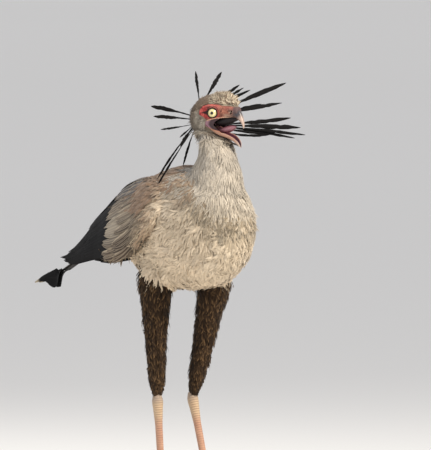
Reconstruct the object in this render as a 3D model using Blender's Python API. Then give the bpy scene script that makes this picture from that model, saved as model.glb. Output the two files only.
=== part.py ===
"""A secretary bird that stands and looks a little to its left, its bill open and its crest raised.

Life size, in metres. +Z is up, the bird faces -Y, and its left is +X. The floor is z = 0.
The body is drawn about its own middle line, and an empty then sets it so that its box is centred.
"""

import math
import random

import bmesh
import bpy
import numpy as np
from mathutils import Matrix, Vector

# Gap between touching pieces, and how far a cutter is swollen to leave it
GAP = 0.0003
CUTTER_SWELL = 1.3 * GAP

# Neighbouring faces that bend less than this are merged after a cut
FLAT_ENOUGH = math.radians(0.6)

# How thin a feather's tip is beside the rest of it
TIP_THINNING = 0.6

# Place of the body's middle line in the centred frame
SHIFT_X = -0.0470
SHIFT_Y = -0.1960

# Stance: the ankle is the joint that a person would call the backward knee
TOE_JOINT_HEIGHT = 0.032
RIGHT_LEG = [(-0.058, 0.070, 0.620), (-0.058, 0.060, 0.330), (-0.047, 0.048, 0.0)]
LEFT_LEG = [(0.058, -0.018, 0.620), (0.058, 0.067, 0.330), (0.062, -0.016, 0.0)]

# Torso: distance behind the middle, height of the back, height of the belly, half width
TORSO_STATIONS = [
    (-0.204, 0.762, 0.738, 0.008),
    (-0.184, 0.816, 0.684, 0.048),
    (-0.139, 0.864, 0.633, 0.081),
    (-0.076, 0.889, 0.604, 0.098),
    (0.000, 0.898, 0.595, 0.103),
    (0.072, 0.886, 0.598, 0.096),
    (0.143, 0.862, 0.616, 0.078),
    (0.215, 0.820, 0.662, 0.052),
    (0.265, 0.788, 0.708, 0.030),
    (0.290, 0.762, 0.738, 0.008),
]
TORSO_SQUARENESS = 2.25

# Neck: height, distance behind the middle, half width, half depth
NECK_STATIONS = [
    (0.826, -0.084, 0.0620, 0.0690),
    (0.862, -0.086, 0.0655, 0.0745),
    (0.889, -0.091, 0.0570, 0.0625),
    (0.916, -0.095, 0.0475, 0.0510),
    (0.938, -0.091, 0.0420, 0.0455),
    (0.953, -0.084, 0.0385, 0.0400),
    (0.966, -0.070, 0.0340, 0.0310),
    (0.980, -0.054, 0.0280, 0.0210),
    (0.992, -0.046, 0.0190, 0.0130),
]

# Head: its middle, and how far it is turned to the left
HEAD_CENTRE = Vector((0.0, -0.0575, 1.018))
HEAD_TURN = math.radians(12.0)

# Skull with its feathers: distance forward, middle height, half width, half height
SKULL_STATIONS = [
    (-0.038, -0.004, 0.007, 0.010),
    (-0.031, -0.004, 0.022, 0.0275),
    (-0.014, -0.003, 0.0320, 0.0415),
    (0.008, 0.000, 0.0360, 0.0465),
    (0.032, 0.004, 0.0340, 0.046),
    (0.052, 0.0125, 0.0275, 0.038),
    (0.070, 0.0180, 0.0200, 0.0280),
    (0.084, 0.0130, 0.0145, 0.0215),
    (0.094, 0.0065, 0.0110, 0.0160),
    (0.0975, 0.0050, 0.0070, 0.0100),
]

# Chin: distance forward, middle height, half width, half height
CHIN_STATIONS = [
    (-0.012, -0.036, 0.0290, 0.0180),
    (0.020, -0.045, 0.0245, 0.0130),
    (0.045, -0.0555, 0.0180, 0.0085),
    (0.066, -0.0625, 0.0120, 0.0055),
    (0.078, -0.0670, 0.0050, 0.0025),
]

# Side view of the open mouth, from its corner along the palate and back along the floor
MOUTH_CORNER = (0.016, -0.0245)
PALATE_LINE = [(0.020, -0.0155), (0.032, -0.0112), (0.045, -0.0080), (0.060, -0.0058), (0.080, -0.0050),
               (0.097, -0.0070), (0.130, -0.0140)]
FLOOR_LINE = [(0.130, -0.1000), (0.098, -0.0655), (0.084, -0.0520), (0.068, -0.0445), (0.043, -0.0375),
              (0.028, -0.0320)]
MOUTH_HALF_WIDTH = 0.060

# Bill, upper and lower: distance forward, middle height, half width, half height
UPPER_BILL = [
    (0.0860, 0.0060, 0.0100, 0.0130),
    (0.0930, 0.0020, 0.0092, 0.0108),
    (0.0985, -0.0040, 0.0076, 0.0084),
    (0.1045, -0.0115, 0.0056, 0.0054),
    (0.1082, -0.0190, 0.0038, 0.0036),
    (0.1096, -0.0255, 0.0024, 0.0024),
    (0.1098, -0.0312, 0.0009, 0.0010),
]
LOWER_BILL = [
    (0.022, -0.0300, 0.0225, 0.0050),
    (0.043, -0.0425, 0.0192, 0.0060),
    (0.068, -0.0495, 0.0146, 0.0062),
    (0.084, -0.0568, 0.0106, 0.0058),
    (0.0945, -0.0655, 0.0066, 0.0048),
    (0.0990, -0.0718, 0.0036, 0.0030),
    (0.1015, -0.0765, 0.0010, 0.0012),
]
BILL_WALL = 0.0030

# The trough's hollow lies this far behind and above its outer wall, and is never narrower than this
HOLLOW_BACK, HOLLOW_RISE, HOLLOW_LEAST = 0.004, 0.0030, 0.0012
TONGUE = [
    (0.030, -0.0345, 0.0080, 0.0022),
    (0.046, -0.0375, 0.0088, 0.0040),
    (0.060, -0.0375, 0.0088, 0.0056),
    (0.073, -0.0360, 0.0072, 0.0050),
    (0.083, -0.0345, 0.0042, 0.0032),
    (0.088, -0.0335, 0.0012, 0.0010),
]

# Eyes, lids and brows: distances forward, left and up from the head's middle
EYE_CENTRE = (0.0356, 0.0240, 0.0058)
EYE_RADIUS = 0.0138
EYE_LOOK = (0.45, 0.89, 0.0)
LID_RING = 0.0128
LID_THICKNESS = 0.0024
LID_LEVEL = 0.0062
NOSTRIL = (0.0820, 0.0125, 0.0076)
NOSTRIL_RADII = (0.0022, 0.0045, 0.0040)
THROAT = (0.020, 0.0, -0.031)
THROAT_RADII = (0.026, 0.017, 0.008)

# Brow: forward, left, up and radius
BROW_STATIONS = [
    (0.010, 0.0290, 0.0165, 0.0020),
    (0.024, 0.0315, 0.0215, 0.0036),
    (0.040, 0.0290, 0.0220, 0.0036),
    (0.058, 0.0215, 0.0180, 0.0022),
]

# Crest: bearing from straight ahead (left is positive), rise, length, width, root height, bow
CREST_LEFT_SIDE = [
    (58, 23.2, 0.222, 0.0130, -0.014, 0.006),
    (58, 16, 0.146, 0.0100, -0.017, 0.004),
    (58, 11, 0.197, 0.0105, -0.012, 0.004),
    (58, 4, 0.217, 0.0115, -0.026, -0.008),
    (58, -1, 0.241, 0.0135, -0.030, 0.000),
    (58, -5, 0.254, 0.0090, -0.030, 0.002),
    (58, -7, 0.228, 0.0085, -0.032, 0.006),
    (58, -3, 0.160, 0.0075, -0.040, -0.006),
    (58, -2, 0.165, 0.0075, -0.044, -0.024),
    (83, 21, 0.160, 0.0080, -0.002, 0.004),
    (83, 25, 0.140, 0.0080, 0.002, 0.000),
    (83, 29, 0.129, 0.0090, 0.006, 0.000),
]
CREST_RIGHT_SIDE = [
    (-102, 12, 0.137, 0.0120, -0.005, 0.004),
    (-102, 5, 0.126, 0.0110, -0.012, 0.002),
    (-102, -6, 0.104, 0.0060, -0.022, -0.002),
    (-102, -28, 0.050, 0.0050, -0.030, 0.002),
    (-118, -52, 0.058, 0.0100, -0.030, 0.006),
]
CREST_TOP = [
    (83, 57, 0.101, 0.0115, 0.016, 0.002),
    (173, 69, 0.093, 0.0085, 0.016, -0.002),
]
CREST_HANGING = [
    (-152, -51, 0.157, 0.0060, -0.034, 0.016),
    (-146, -54, 0.170, 0.0060, -0.038, 0.010),
    (-170, -66, 0.098, 0.0065, -0.034, 0.014),
]
CREST_THICKNESS = 0.0012
CREST_LAYER = 0.0026
CREST_LOWEST_ROOT = -0.024

# Where the crest's feathers leave the skull and where their free length begins: forward and left
CREST_ROOT = (-0.029, 0.011)
CREST_START = (-0.022, 0.024)

# The direction that their flat sides look in, and their width at shares of the length
CREST_FACING = (0.62, -0.78, 0.0)
CREST_SPREAD = [(0.0, 0.20), (0.40, 0.40), (0.62, 0.96), (0.86, 0.86), (1.0, 0.10)]
CREST_LEAST_WIDTH = 0.0016

# Folded wing: distance behind the middle, height and distance beside the middle line of its
# section's middle, half height, half thickness
WING_STATIONS = [
    (0.004, 0.800, 0.0950, 0.024, 0.006),
    (0.026, 0.796, 0.0920, 0.056, 0.017),
    (0.064, 0.786, 0.0870, 0.080, 0.024),
    (0.116, 0.768, 0.0780, 0.096, 0.025),
    (0.188, 0.751, 0.0660, 0.093, 0.021),
    (0.230, 0.742, 0.0580, 0.078, 0.017),
    (0.280, 0.722, 0.0500, 0.061, 0.013),
    (0.330, 0.700, 0.0440, 0.047, 0.010),
    (0.395, 0.668, 0.0370, 0.025, 0.006),
    (0.448, 0.657, 0.0320, 0.012, 0.003),
]
WING_LEAN = 0.34
WING_FLESH_END = 0.245
WING_FLESH_RINGS = 9
WING_SKIN = 0.001

# The flesh narrows towards its end by this share, as a power of the way along
WING_FLESH_TAPER, WING_FLESH_POWER = 0.75, 6

# Tiers of wing feathers, the flight feathers first and the small coverts last: root place behind
# the middle, feather length, count, width, highest and lowest angle round the wing, turn to the tip
WING_TIERS = [
    (0.185, 0.262, 5, 0.024, 20.0, -62.0, 6.0),
    (0.150, 0.200, 7, 0.033, 80.0, -50.0, -2.0),
    (0.110, 0.125, 7, 0.038, 82.0, -52.0, -8.0),
    (0.068, 0.095, 6, 0.038, 76.0, -58.0, -10.0),
    (0.030, 0.080, 5, 0.037, 62.0, -54.0, -10.0),
]
VANE_RISE = [(0.0, -0.0045), (0.35, 0.0004), (0.82, 0.0046), (1.0, 0.0062)]
VANE_SPREAD = (0.70, 1.0, 0.86, 0.16)
VANE_SHORTENING = 0.18
LONGEST_VANE = 0.35
ANGLE_STEPS = 60
VANE_ROLL = math.tan(math.radians(6.0))
VANE_THICKNESS = 0.0011

# Tail: length behind the body, middle height at the root, slope down and twist at the tip
TAIL_ROOT = Vector((0.0, 0.205, 0.762))
TAIL_SLOPE = math.radians(24.0)
TAIL_CENTRAL_LENGTH = 0.4260
TAIL_SIDE_LENGTH = 0.285
TAIL_FEATHER_WIDTH = 0.034
TAIL_PAIRS = 4
TAIL_TWIST = math.radians(75.0)
TAIL_TWIST_FROM, TAIL_TWIST_TO = 0.73, 0.805

# Tail feathers: share of the length, share of the width, lift. The long pair is a thin stem that
# widens to a spade
TAIL_FEATHER = [(0.0, 0.50, 0.0), (0.35, 0.75, -0.0089), (0.70, 1.00, -0.0081), (0.92, 0.90, -0.0025),
                (1.0, 0.15, 0.0)]
TAIL_STREAMER = [(0.0, 0.50, 0.0), (0.35, 0.75, -0.0090), (0.75, 0.55, -0.0155), (0.805, 1.50, -0.0220),
                 (0.90, 0.62, -0.0060), (1.0, 0.10, -0.0010)]
TAIL_NEXT_LENGTH = 0.985

# Each feather of the stack is a little shorter, lower and further aside than the one above it
TAIL_SHORTENING, TAIL_STEP_DOWN, TAIL_STEP_ASIDE = 0.055, 0.0035, 0.010
TAIL_FIRST_ASIDE, TAIL_FIRST_LEVEL, TAIL_RIGHT_LOWER = 0.004, -0.002, 0.0016
TAIL_STACK_WIDTH = 0.9
TAIL_ROOT_OFFSET = 0.35

# Rump: distance behind the tail's root and radius
RUMP_STATIONS = [(-0.03, 0.030), (0.05, 0.027), (0.12, 0.018), (0.17, 0.008)]
RUMP_FLATNESS = 0.55

# Trousers: share of the leg's length and radius there
THIGH_STATIONS = [(-0.15, 0.012), (-0.12, 0.026), (-0.06, 0.035), (0.04, 0.0375), (0.32, 0.0275),
                  (0.60, 0.0215), (0.85, 0.0165), (0.965, 0.0110)]
LOCK_ROWS = 5
LOCKS_IN_ROW = 7
LOCK_LENGTH = 0.070
LOCK_WIDTH = 0.026
LOCK_THICKNESS = 0.0014

# Trousers' locks: share of the length and lift, and the shares of the width there
LOCK_RISE = [(0.0, -0.0040), (0.55, 0.0012), (1.0, 0.0045)]
LOCK_SPREAD = (0.9, 0.9, 0.12)
THIGH_FLATNESS, THIGH_DEPTH = 0.97, 1.09
LOCK_TOP, LOCK_SPAN, LOCK_SHORTENING, LOCK_SIDE_DEPTH = 0.02, 0.80, 0.30, 0.12

# Neck locks
NECK_LOCK_ROWS = [(0.945, 0.046), (0.912, 0.052), (0.878, 0.050)]
NECK_LOCKS_IN_ROW = 9
NECK_LOCK_WIDTH = 0.020
NECK_LOCK_RISE = [(0.0, -0.0030), (0.55, 0.0010), (1.0, 0.0036)]

# Feet: turn from straight ahead and length of each toe
TOES = [("inner", -27.0, 0.052), ("middle", 2.0, 0.064), ("outer", 30.0, 0.050), ("hind", 176.0, 0.030)]
TOE_STATIONS = [(0.0, 0.0098), (0.35, 0.0080), (0.72, 0.0072), (1.0, 0.0050)]
SOLE_RISE = 0.86
TOE_START, TOE_ROOT_RISE = 0.004, 0.004
FLOOR_BLOCK = 0.4

# Foot's base: height above the floor, half width and half depth
FOOT_STATIONS = [(0.034, 0.0102, 0.0102), (0.020, 0.0118, 0.0122), (0.008, 0.0112, 0.0122)]

# Claws: share of the length, rise from the toe's middle line, share of the radius
CLAW_LENGTH = 0.017
CLAW_RADIUS = 0.0036
CLAW_FLATNESS = 0.8
CLAW_STATIONS = [(-0.20, 0.0002, 1.0), (0.35, 0.0022, 0.88), (0.75, 0.0012, 0.55), (1.0, -0.0016, 0.12)]

# Lower leg: share of the way from the ankle to the toes' joint, half width and half depth
TARSUS_STATIONS = [
    (-0.05, 0.0085, 0.0095),
    (0.0, 0.0120, 0.0145),
    (0.07, 0.0110, 0.0125),
    (0.2, 0.0082, 0.0098),
    (0.8, 0.0075, 0.0086),
    (0.94, 0.0098, 0.0100),
    (1.0, 0.0098, 0.0096),
]
SCUTES = 12
SCUTE_RISE = 0.0009

UP = Vector((0.0, 0.0, 1.0))
LEFT = Vector((1.0, 0.0, 0.0))
BACK = Vector((0.0, 1.0, 0.0))


def clear_scene():
    """Remove what a new file holds."""
    for thing in list(bpy.data.objects):
        bpy.data.objects.remove(thing, do_unlink=True)


def material(name, colour, roughness):
    """A plain finish."""
    made = bpy.data.materials.new(name)
    made.use_nodes = True
    shader = made.node_tree.nodes["Principled BSDF"]
    shader.inputs["Base Color"].default_value = (*colour, 1.0)
    shader.inputs["Roughness"].default_value = roughness
    shader.inputs["Metallic"].default_value = 0.0
    return made


def face_outwards(mesh):
    """Point every face of a closed mesh away from its inside."""
    bm = bmesh.new()
    bm.from_mesh(mesh)
    bmesh.ops.recalc_face_normals(bm, faces=bm.faces)
    if bm.calc_volume(signed=True) < 0.0:
        bmesh.ops.reverse_faces(bm, faces=bm.faces)
    bm.to_mesh(mesh)
    bm.free()


def mesh_object(name, points, faces):
    """A mesh object from points and faces, turned so that its faces look outwards."""
    mesh = bpy.data.meshes.new(name)
    mesh.from_pydata([tuple(point) for point in points], [], faces)
    made = bpy.data.objects.new(name, mesh)
    bpy.context.scene.collection.objects.link(made)
    face_outwards(mesh)
    return made


def smooth_rows(rows, places):
    """Rows of numbers read on a smooth curve through the given rows.

    The places count rows: 1.5 is half way from the second row to the third.
    """
    rows = np.array(rows, dtype=float)
    padded = np.vstack([2 * rows[0] - rows[1], rows, 2 * rows[-1] - rows[-2]])
    places = np.asarray(places, dtype=float)
    first = np.clip(places.astype(int), 0, len(rows) - 2)
    t = (places - first)[:, None]
    a, b, c, d = padded[first], padded[first + 1], padded[first + 2], padded[first + 3]
    return 0.5 * (2 * b + (c - a) * t + (2 * a - 5 * b + 4 * c - d) * t ** 2
                  + (3 * b - a - 3 * c + d) * t ** 3)


def even_rows(rows, count):
    """The smooth curve through the rows, read at an even count of places."""
    return smooth_rows(rows, np.linspace(0.0, len(rows) - 1.0, count))


def row_at(rows, value):
    """The smooth row whose first number is about the given value."""
    firsts = [row[0] for row in rows]
    place = np.interp(value, firsts, np.arange(len(rows)))
    return smooth_rows(rows, [place])[0]


def oval(centre, across, upward, half_across, half_up, sides, power=2.0):
    """A closed ring of points: an ellipse, or a squarer oval for a power above two."""
    ring = []
    for step in range(sides):
        angle = 2.0 * math.pi * step / sides
        cosine, sine = math.cos(angle), math.sin(angle)
        x = math.copysign(abs(cosine) ** (2.0 / power), cosine) * half_across
        y = math.copysign(abs(sine) ** (2.0 / power), sine) * half_up
        ring.append(Vector(centre) + Vector(across) * x + Vector(upward) * y)
    return ring


def loft(name, rings):
    """A closed skin over a row of rings, with a flat cap at each end."""
    sides = len(rings[0])
    points = [point for ring in rings for point in ring]
    faces = []
    for row in range(len(rings) - 1):
        for side in range(sides):
            after = (side + 1) % sides
            low, high = row * sides, (row + 1) * sides
            faces.append((low + side, low + after, high + after, high + side))
    last = (len(rings) - 1) * sides
    faces.append(tuple(range(sides - 1, -1, -1)))
    faces.append(tuple(range(last, last + sides)))
    return mesh_object(name, points, faces)


def tube(name, path, sides=10, level=UP, beside=None):
    """A limb along a path of (point, half width, half depth), with sections square to it.

    Its width lies square to the level direction, or along the direction beside, where that is given.
    """
    points = [Vector(row[0]) for row in path]
    rings = []
    for index, (point, half_width, half_depth) in enumerate(path):
        before = points[max(index - 1, 0)]
        after = points[min(index + 1, len(points) - 1)]
        along = (after - before).normalized()
        across = beside if beside else along.cross(level).normalized()
        upward = across.cross(along).normalized()
        rings.append(oval(point, across, upward, half_width, half_depth, sides))
    return loft(name, rings)


def settled_mesh(thing):
    """The object's mesh with its modifiers worked in."""
    graph = bpy.context.evaluated_depsgraph_get()
    return bpy.data.meshes.new_from_object(thing.evaluated_get(graph))


def keep_largest(mesh):
    """Keep only the largest closed surface of a mesh."""
    bm = bmesh.new()
    bm.from_mesh(mesh)
    bmesh.ops.dissolve_limit(bm, angle_limit=FLAT_ENOUGH, verts=bm.verts, edges=bm.edges)
    bmesh.ops.triangulate(bm, faces=bm.faces)
    unseen = set(bm.faces)
    islands = []
    while unseen:
        stack = [unseen.pop()]
        island = list(stack)
        while stack:
            for edge in stack.pop().edges:
                for face in edge.link_faces:
                    if face in unseen:
                        unseen.remove(face)
                        stack.append(face)
                        island.append(face)
        islands.append(island)
    islands.sort(key=lambda island: sum(face.calc_area() for face in island))
    for island in islands[:-1]:
        bmesh.ops.delete(bm, geom=island, context="FACES")
    loose = [vertex for vertex in bm.verts if not vertex.link_faces]
    bmesh.ops.delete(bm, geom=loose, context="VERTS")
    bm.to_mesh(mesh)
    bm.free()


def combine(thing, others, operation):
    """Join the other objects to this one, or cut them out of it, and remove them."""
    group = bpy.data.collections.new(thing.name + "_others")
    for other in others:
        group.objects.link(other)
    modifier = thing.modifiers.new("combine", "BOOLEAN")
    modifier.operand_type = "COLLECTION"
    modifier.collection = group
    modifier.operation = operation
    modifier.solver = "EXACT"
    result = settled_mesh(thing)
    thing.modifiers.remove(modifier)
    thing.data = result
    keep_largest(result)
    bpy.data.collections.remove(group)
    for other in others:
        bpy.data.objects.remove(other, do_unlink=True)
    return thing


def swollen(thing):
    """A copy of an object whose surface lies a little further out, for use as a cutter."""
    mesh = thing.data.copy()
    normals = [vertex.normal.copy() for vertex in mesh.vertices]
    for vertex, normal in zip(mesh.vertices, normals):
        vertex.co += normal * CUTTER_SWELL
    made = bpy.data.objects.new(thing.name + "_cutter", mesh)
    bpy.context.scene.collection.objects.link(made)
    return made


def clear_of(thing, neighbours):
    """Cut an object back until the gap lies between it and its neighbours."""
    return combine(thing, [swollen(other) for other in neighbours], "DIFFERENCE")


def blade(name, path, widths, faces_out, thickness):
    """A thin vane along a path, split into triangles alike on both faces.

    The path holds points from root to tip, widths a width for each, and faces_out the
    direction that the flat side looks in, one for the whole path or one for each point.
    """
    looks = faces_out if isinstance(faces_out, list) else [faces_out] * len(path)
    points = []
    for index, (point, width, look) in enumerate(zip(path, widths, looks)):
        before = path[max(index - 1, 0)]
        after = path[min(index + 1, len(path) - 1)]
        along = (after - before).normalized()
        across = along.cross(look).normalized()
        outward = across.cross(along).normalized()
        thin = thickness if index < len(path) - 1 else TIP_THINNING * thickness
        for side, level in ((-1, 1), (1, 1), (1, -1), (-1, -1)):
            points.append(point + across * (side * width / 2) + outward * (level * thin / 2))
    faces = [(3, 2, 1, 0)]
    for row in range(len(path) - 1):
        a, b = 4 * row, 4 * row + 4
        faces += [(a, a + 1, b + 1), (a, b + 1, b)]
        faces += [(a + 3, b + 2, a + 2), (a + 3, b + 3, b + 2)]
        faces += [(a + 1, a + 2, b + 2, b + 1), (a + 3, a, b, b + 3)]
    last = 4 * (len(path) - 1)
    faces.append((last, last + 1, last + 2, last + 3))
    return mesh_object(name, points, faces)


def head_vector(forward, left, up):
    """A direction given by how far it goes forward, left and up as the head faces."""
    ahead = Vector((math.sin(HEAD_TURN), -math.cos(HEAD_TURN), 0.0))
    beside = Vector((math.cos(HEAD_TURN), math.sin(HEAD_TURN), 0.0))
    return ahead * forward + beside * left + UP * up


def head_point(forward, left, up):
    """A place given by its distance forward, left and up from the head's middle."""
    return HEAD_CENTRE + head_vector(forward, left, up)


def head_loft(name, stations, count, sides):
    """A form of the head from stations of distance forward, middle height, half width, half height."""
    rings = []
    for forward, up, half_width, half_height in even_rows(stations, count):
        rings.append(oval(head_point(forward, 0.0, up), head_vector(0, 1, 0), UP,
                          half_width, half_height, sides))
    return loft(name, rings)


def head_tube(name, stations, count, sides):
    """A form of the head whose sections turn with its path."""
    path = []
    for forward, up, half_width, half_height in even_rows(stations, count):
        path.append((head_point(forward, 0.0, up), half_width, half_height))
    return tube(name, path, sides, beside=head_vector(0, 1, 0))


def make_torso():
    """The trunk from the breast to the rump."""
    rings = []
    for behind, back, belly, half_width in even_rows(TORSO_STATIONS, 16):
        centre = (0.0, behind, (back + belly) / 2.0)
        rings.append(oval(centre, LEFT, UP, half_width, (back - belly) / 2.0, 18, TORSO_SQUARENESS))
    return loft("torso", rings)


def make_neck(torso, rng):
    """The neck from the shoulders to the skull, with rows of long hanging feathers."""
    rings = []
    for height, behind, half_width, half_depth in even_rows(NECK_STATIONS, 11):
        rings.append(oval((0.0, behind, height), LEFT, BACK, half_width, half_depth, 16))
    neck = loft("neck", rings)
    locks = []
    for row, (top, length) in enumerate(NECK_LOCK_ROWS):
        for index in range(NECK_LOCKS_IN_ROW):
            angle = 2.0 * math.pi * (index + 0.5 * (row % 2)) / NECK_LOCKS_IN_ROW
            locks.append(neck_lock(top + rng.uniform(-0.004, 0.004), length, angle))
    return clear_of(combine(neck, locks, "UNION"), [torso])


def neck_lock(top, length, angle):
    """One long feather that hangs down the neck with its tip standing a little away."""
    path = []
    looks = []
    for share, lift in NECK_LOCK_RISE:
        height, behind, half_width, half_depth = row_at(NECK_STATIONS, top - length * share)
        outward = Vector((math.cos(angle) / half_width, math.sin(angle) / half_depth, 0.0)).normalized()
        path.append(Vector((math.cos(angle) * half_width, behind + math.sin(angle) * half_depth,
                            height)) + outward * lift)
        looks.append(outward)
    widths = [NECK_LOCK_WIDTH * share for share in LOCK_SPREAD]
    return blade("neck_lock", path, widths, looks, LOCK_THICKNESS)


def prism(name, outline, half_width):
    """A slab across the head whose side view is the outline of (forward, up) points."""
    count = len(outline)
    points = [head_point(forward, half_width, up) for forward, up in outline]
    points += [head_point(forward, -half_width, up) for forward, up in outline]
    faces = [tuple(range(count)), tuple(range(2 * count - 1, count - 1, -1))]
    for index in range(count):
        after = (index + 1) % count
        faces.append((index, after, count + after, count + index))
    return mesh_object(name, points, faces)


def ball(name, centre, radii, rings=8, segments=12):
    """An ellipsoid in the head's own directions."""
    bpy.ops.mesh.primitive_uv_sphere_add(segments=segments, ring_count=rings, radius=1.0)
    made = bpy.context.object
    made.name = name
    ahead, beside = head_vector(1, 0, 0), head_vector(0, 1, 0)
    turn = Matrix((ahead * radii[0], beside * radii[1], UP * radii[2])).transposed().to_4x4()
    made.data.transform(Matrix.Translation(centre) @ turn)
    return made


def eye_look(side):
    """The direction that one eye looks in."""
    forward, left, up = EYE_LOOK
    return head_vector(forward, side * left, up).normalized()


def eye_centre(side):
    """The middle of one eyeball."""
    forward, left, up = EYE_CENTRE
    return head_point(forward, side * left, up)


def make_eye(side, name):
    """One eyeball, with its pole at the pupil."""
    bpy.ops.mesh.primitive_uv_sphere_add(segments=12, ring_count=8, radius=EYE_RADIUS)
    eye = bpy.context.object
    eye.name = name
    turn = eye_look(side).to_track_quat("Z", "Y").to_matrix().to_4x4()
    eye.data.transform(Matrix.Translation(eye_centre(side)) @ turn)
    return eye


def make_lid(side):
    """The swollen ring of skin round one eye."""
    bpy.ops.mesh.primitive_torus_add(major_segments=12, minor_segments=5,
                                     major_radius=LID_RING, minor_radius=LID_THICKNESS)
    lid = bpy.context.object
    lid.name = "lid"
    look = eye_look(side)
    turn = look.to_track_quat("Z", "Y").to_matrix().to_4x4()
    lid.data.transform(Matrix.Translation(eye_centre(side) + look * LID_LEVEL) @ turn)
    return lid


def make_brow(side):
    """The ridge of skin over one eye."""
    path = [(head_point(forward, side * left, up), radius, radius)
            for forward, left, up, radius in even_rows(BROW_STATIONS, 5)]
    return tube("brow", path, 6)


def crest_feather(side_of_nape, bearing, rise, length, width, root_up, bow, layer, rng):
    """One crest feather: a narrow stalk that widens in its outer half to a ragged point."""
    heading = math.radians(bearing + rng.uniform(-1.0, 1.0))
    tilt = math.radians(rise)
    direction = head_vector(math.cos(heading) * math.cos(tilt), math.sin(heading) * math.cos(tilt),
                            math.sin(tilt))
    look = head_vector(*CREST_FACING)
    shift = look * (CREST_LAYER * layer)
    root = head_point(CREST_ROOT[0], side_of_nape * CREST_ROOT[1], max(root_up, CREST_LOWEST_ROOT)) + shift
    start = head_point(CREST_START[0], side_of_nape * CREST_START[1], root_up)
    tip = start + direction * length + shift
    path = []
    widths = []
    for share, spread in CREST_SPREAD:
        bend = UP * (bow * 2.0 * share * (1.0 - share))
        path.append(root.lerp(tip, share) + bend)
        widths.append(max(width * spread, CREST_LEAST_WIDTH))
    return blade("crest", path, widths, look, CREST_THICKNESS)


def make_crest(rng):
    """The fan of long feathers that grows from the nape."""
    feathers = []
    for side_of_nape, rows in ((1, CREST_LEFT_SIDE), (-1, CREST_RIGHT_SIDE), (0.85, CREST_TOP),
                               (-0.4, CREST_HANGING)):
        for index, row in enumerate(rows):
            feathers.append(crest_feather(side_of_nape, *row, index % 3 - 1, rng))
    return feathers


def make_head(neck, eyes, bill, rng):
    """The skull with cheeks, chin, open mouth, nostrils, lids, brows and crest."""
    head = head_loft("head", SKULL_STATIONS, 14, 16)
    forms = [head_loft("chin", CHIN_STATIONS, 6, 10)]
    for side in (1, -1):
        forms += [make_lid(side), make_brow(side)]
    head = combine(head, forms, "UNION")
    cutters = [prism("mouth", [MOUTH_CORNER] + PALATE_LINE + FLOOR_LINE, MOUTH_HALF_WIDTH),
               ball("throat", head_point(*THROAT), THROAT_RADII)]
    forward, left, up = NOSTRIL
    for side in (1, -1):
        cutters.append(ball("nostril", head_point(forward, side * left, up), NOSTRIL_RADII, 6, 8))
    head = combine(head, cutters, "DIFFERENCE")
    head = clear_of(head, [neck] + eyes + bill)
    return combine(head, make_crest(rng), "UNION")


def make_bill(neck):
    """The hooked upper half of the bill and the trough of the lower half."""
    upper = head_tube("bill_upper", UPPER_BILL, 10, 10)
    lower = head_tube("bill_lower", LOWER_BILL, 9, 12)
    hollow = []
    for forward, up, half_width, half_height in even_rows(LOWER_BILL[:-1], 7):
        hollow.append((head_point(forward - HOLLOW_BACK, 0.0, up + HOLLOW_RISE),
                       max(half_width - BILL_WALL, HOLLOW_LEAST), half_height))
    lower = combine(lower, [tube("hollow", hollow, 10)], "DIFFERENCE")
    return [upper, clear_of(lower, [neck])]


def wing_point(side, behind, angle, lift):
    """A place over the folded wing, the direction away from the wing and the way up its face."""
    _, height, beside, half_height, half_width = row_at(WING_STATIONS, behind)
    turn = math.radians(angle)
    lean = WING_LEAN * half_height
    point = Vector((side * (beside + half_width * math.cos(turn) - lean * math.sin(turn)), behind,
                    height + half_height * math.sin(turn)))
    rising = Vector((-side * (half_width * math.sin(turn) + lean * math.cos(turn)), 0.0,
                     half_height * math.cos(turn))).normalized()
    outward = Vector((side * rising.z, 0.0, -side * rising.x))
    return point + outward * lift, outward, rising


def even_angles(behind, top, bottom, count):
    """Angles round the wing that are evenly far apart on its face."""
    _, _, _, half_height, half_width = row_at(WING_STATIONS, behind)
    angles = np.radians(np.linspace(top, bottom, ANGLE_STEPS))
    steps = np.hypot(half_width * np.diff(np.cos(angles)), half_height * np.diff(np.sin(angles)))
    travelled = np.concatenate([[0.0], np.cumsum(steps)])
    return np.degrees(np.interp(np.linspace(0.0, travelled[-1], count), travelled, angles))


def wing_flesh(side, name):
    """The wing's own body under its feathers."""
    rings = []
    last = np.interp(WING_FLESH_END, [row[0] for row in WING_STATIONS], np.arange(len(WING_STATIONS)))
    for place in np.linspace(0.0, last, WING_FLESH_RINGS):
        behind, height, beside, half_height, half_width = smooth_rows(WING_STATIONS, [place])[0]
        shrink = 1.0 - WING_FLESH_TAPER * (place / last) ** WING_FLESH_POWER
        upward = Vector((-side * WING_LEAN, 0.0, 1.0))
        rings.append(oval((side * beside, behind, height), LEFT, upward,
                          (half_width - WING_SKIN) * shrink, half_height * shrink, 12))
    return loft(name, rings)


def wing_vane(side, root, length, width, angle, drop):
    """One wing feather that lies back along the wing, with its tip and its lower edge raised."""
    path = []
    looks = []
    for share, lift in VANE_RISE:
        behind = min(root + length * share, WING_STATIONS[-1][0])
        point, outward, rising = wing_point(side, behind, angle + drop * share, lift)
        path.append(point)
        looks.append((outward + rising * VANE_ROLL).normalized())
    widths = [width * share for share in VANE_SPREAD]
    return blade("vane", path, widths, looks, VANE_THICKNESS)


def make_wing(side, name, torso, rng):
    """One folded wing: its flesh and overlapping tiers of feathers."""
    vanes = []
    for root, length, count, width, top, bottom, drop in WING_TIERS:
        for index, angle in enumerate(even_angles(root + 0.5 * length, top, bottom, count)):
            share = index / (count - 1)
            reach = length * (1.0 - VANE_SHORTENING * abs(share - LONGEST_VANE)) * rng.uniform(0.97, 1.03)
            vanes.append(wing_vane(side, root, reach, width, angle, drop))
    wing = combine(wing_flesh(side, name), vanes, "UNION")
    return clear_of(wing, [torso])


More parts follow.
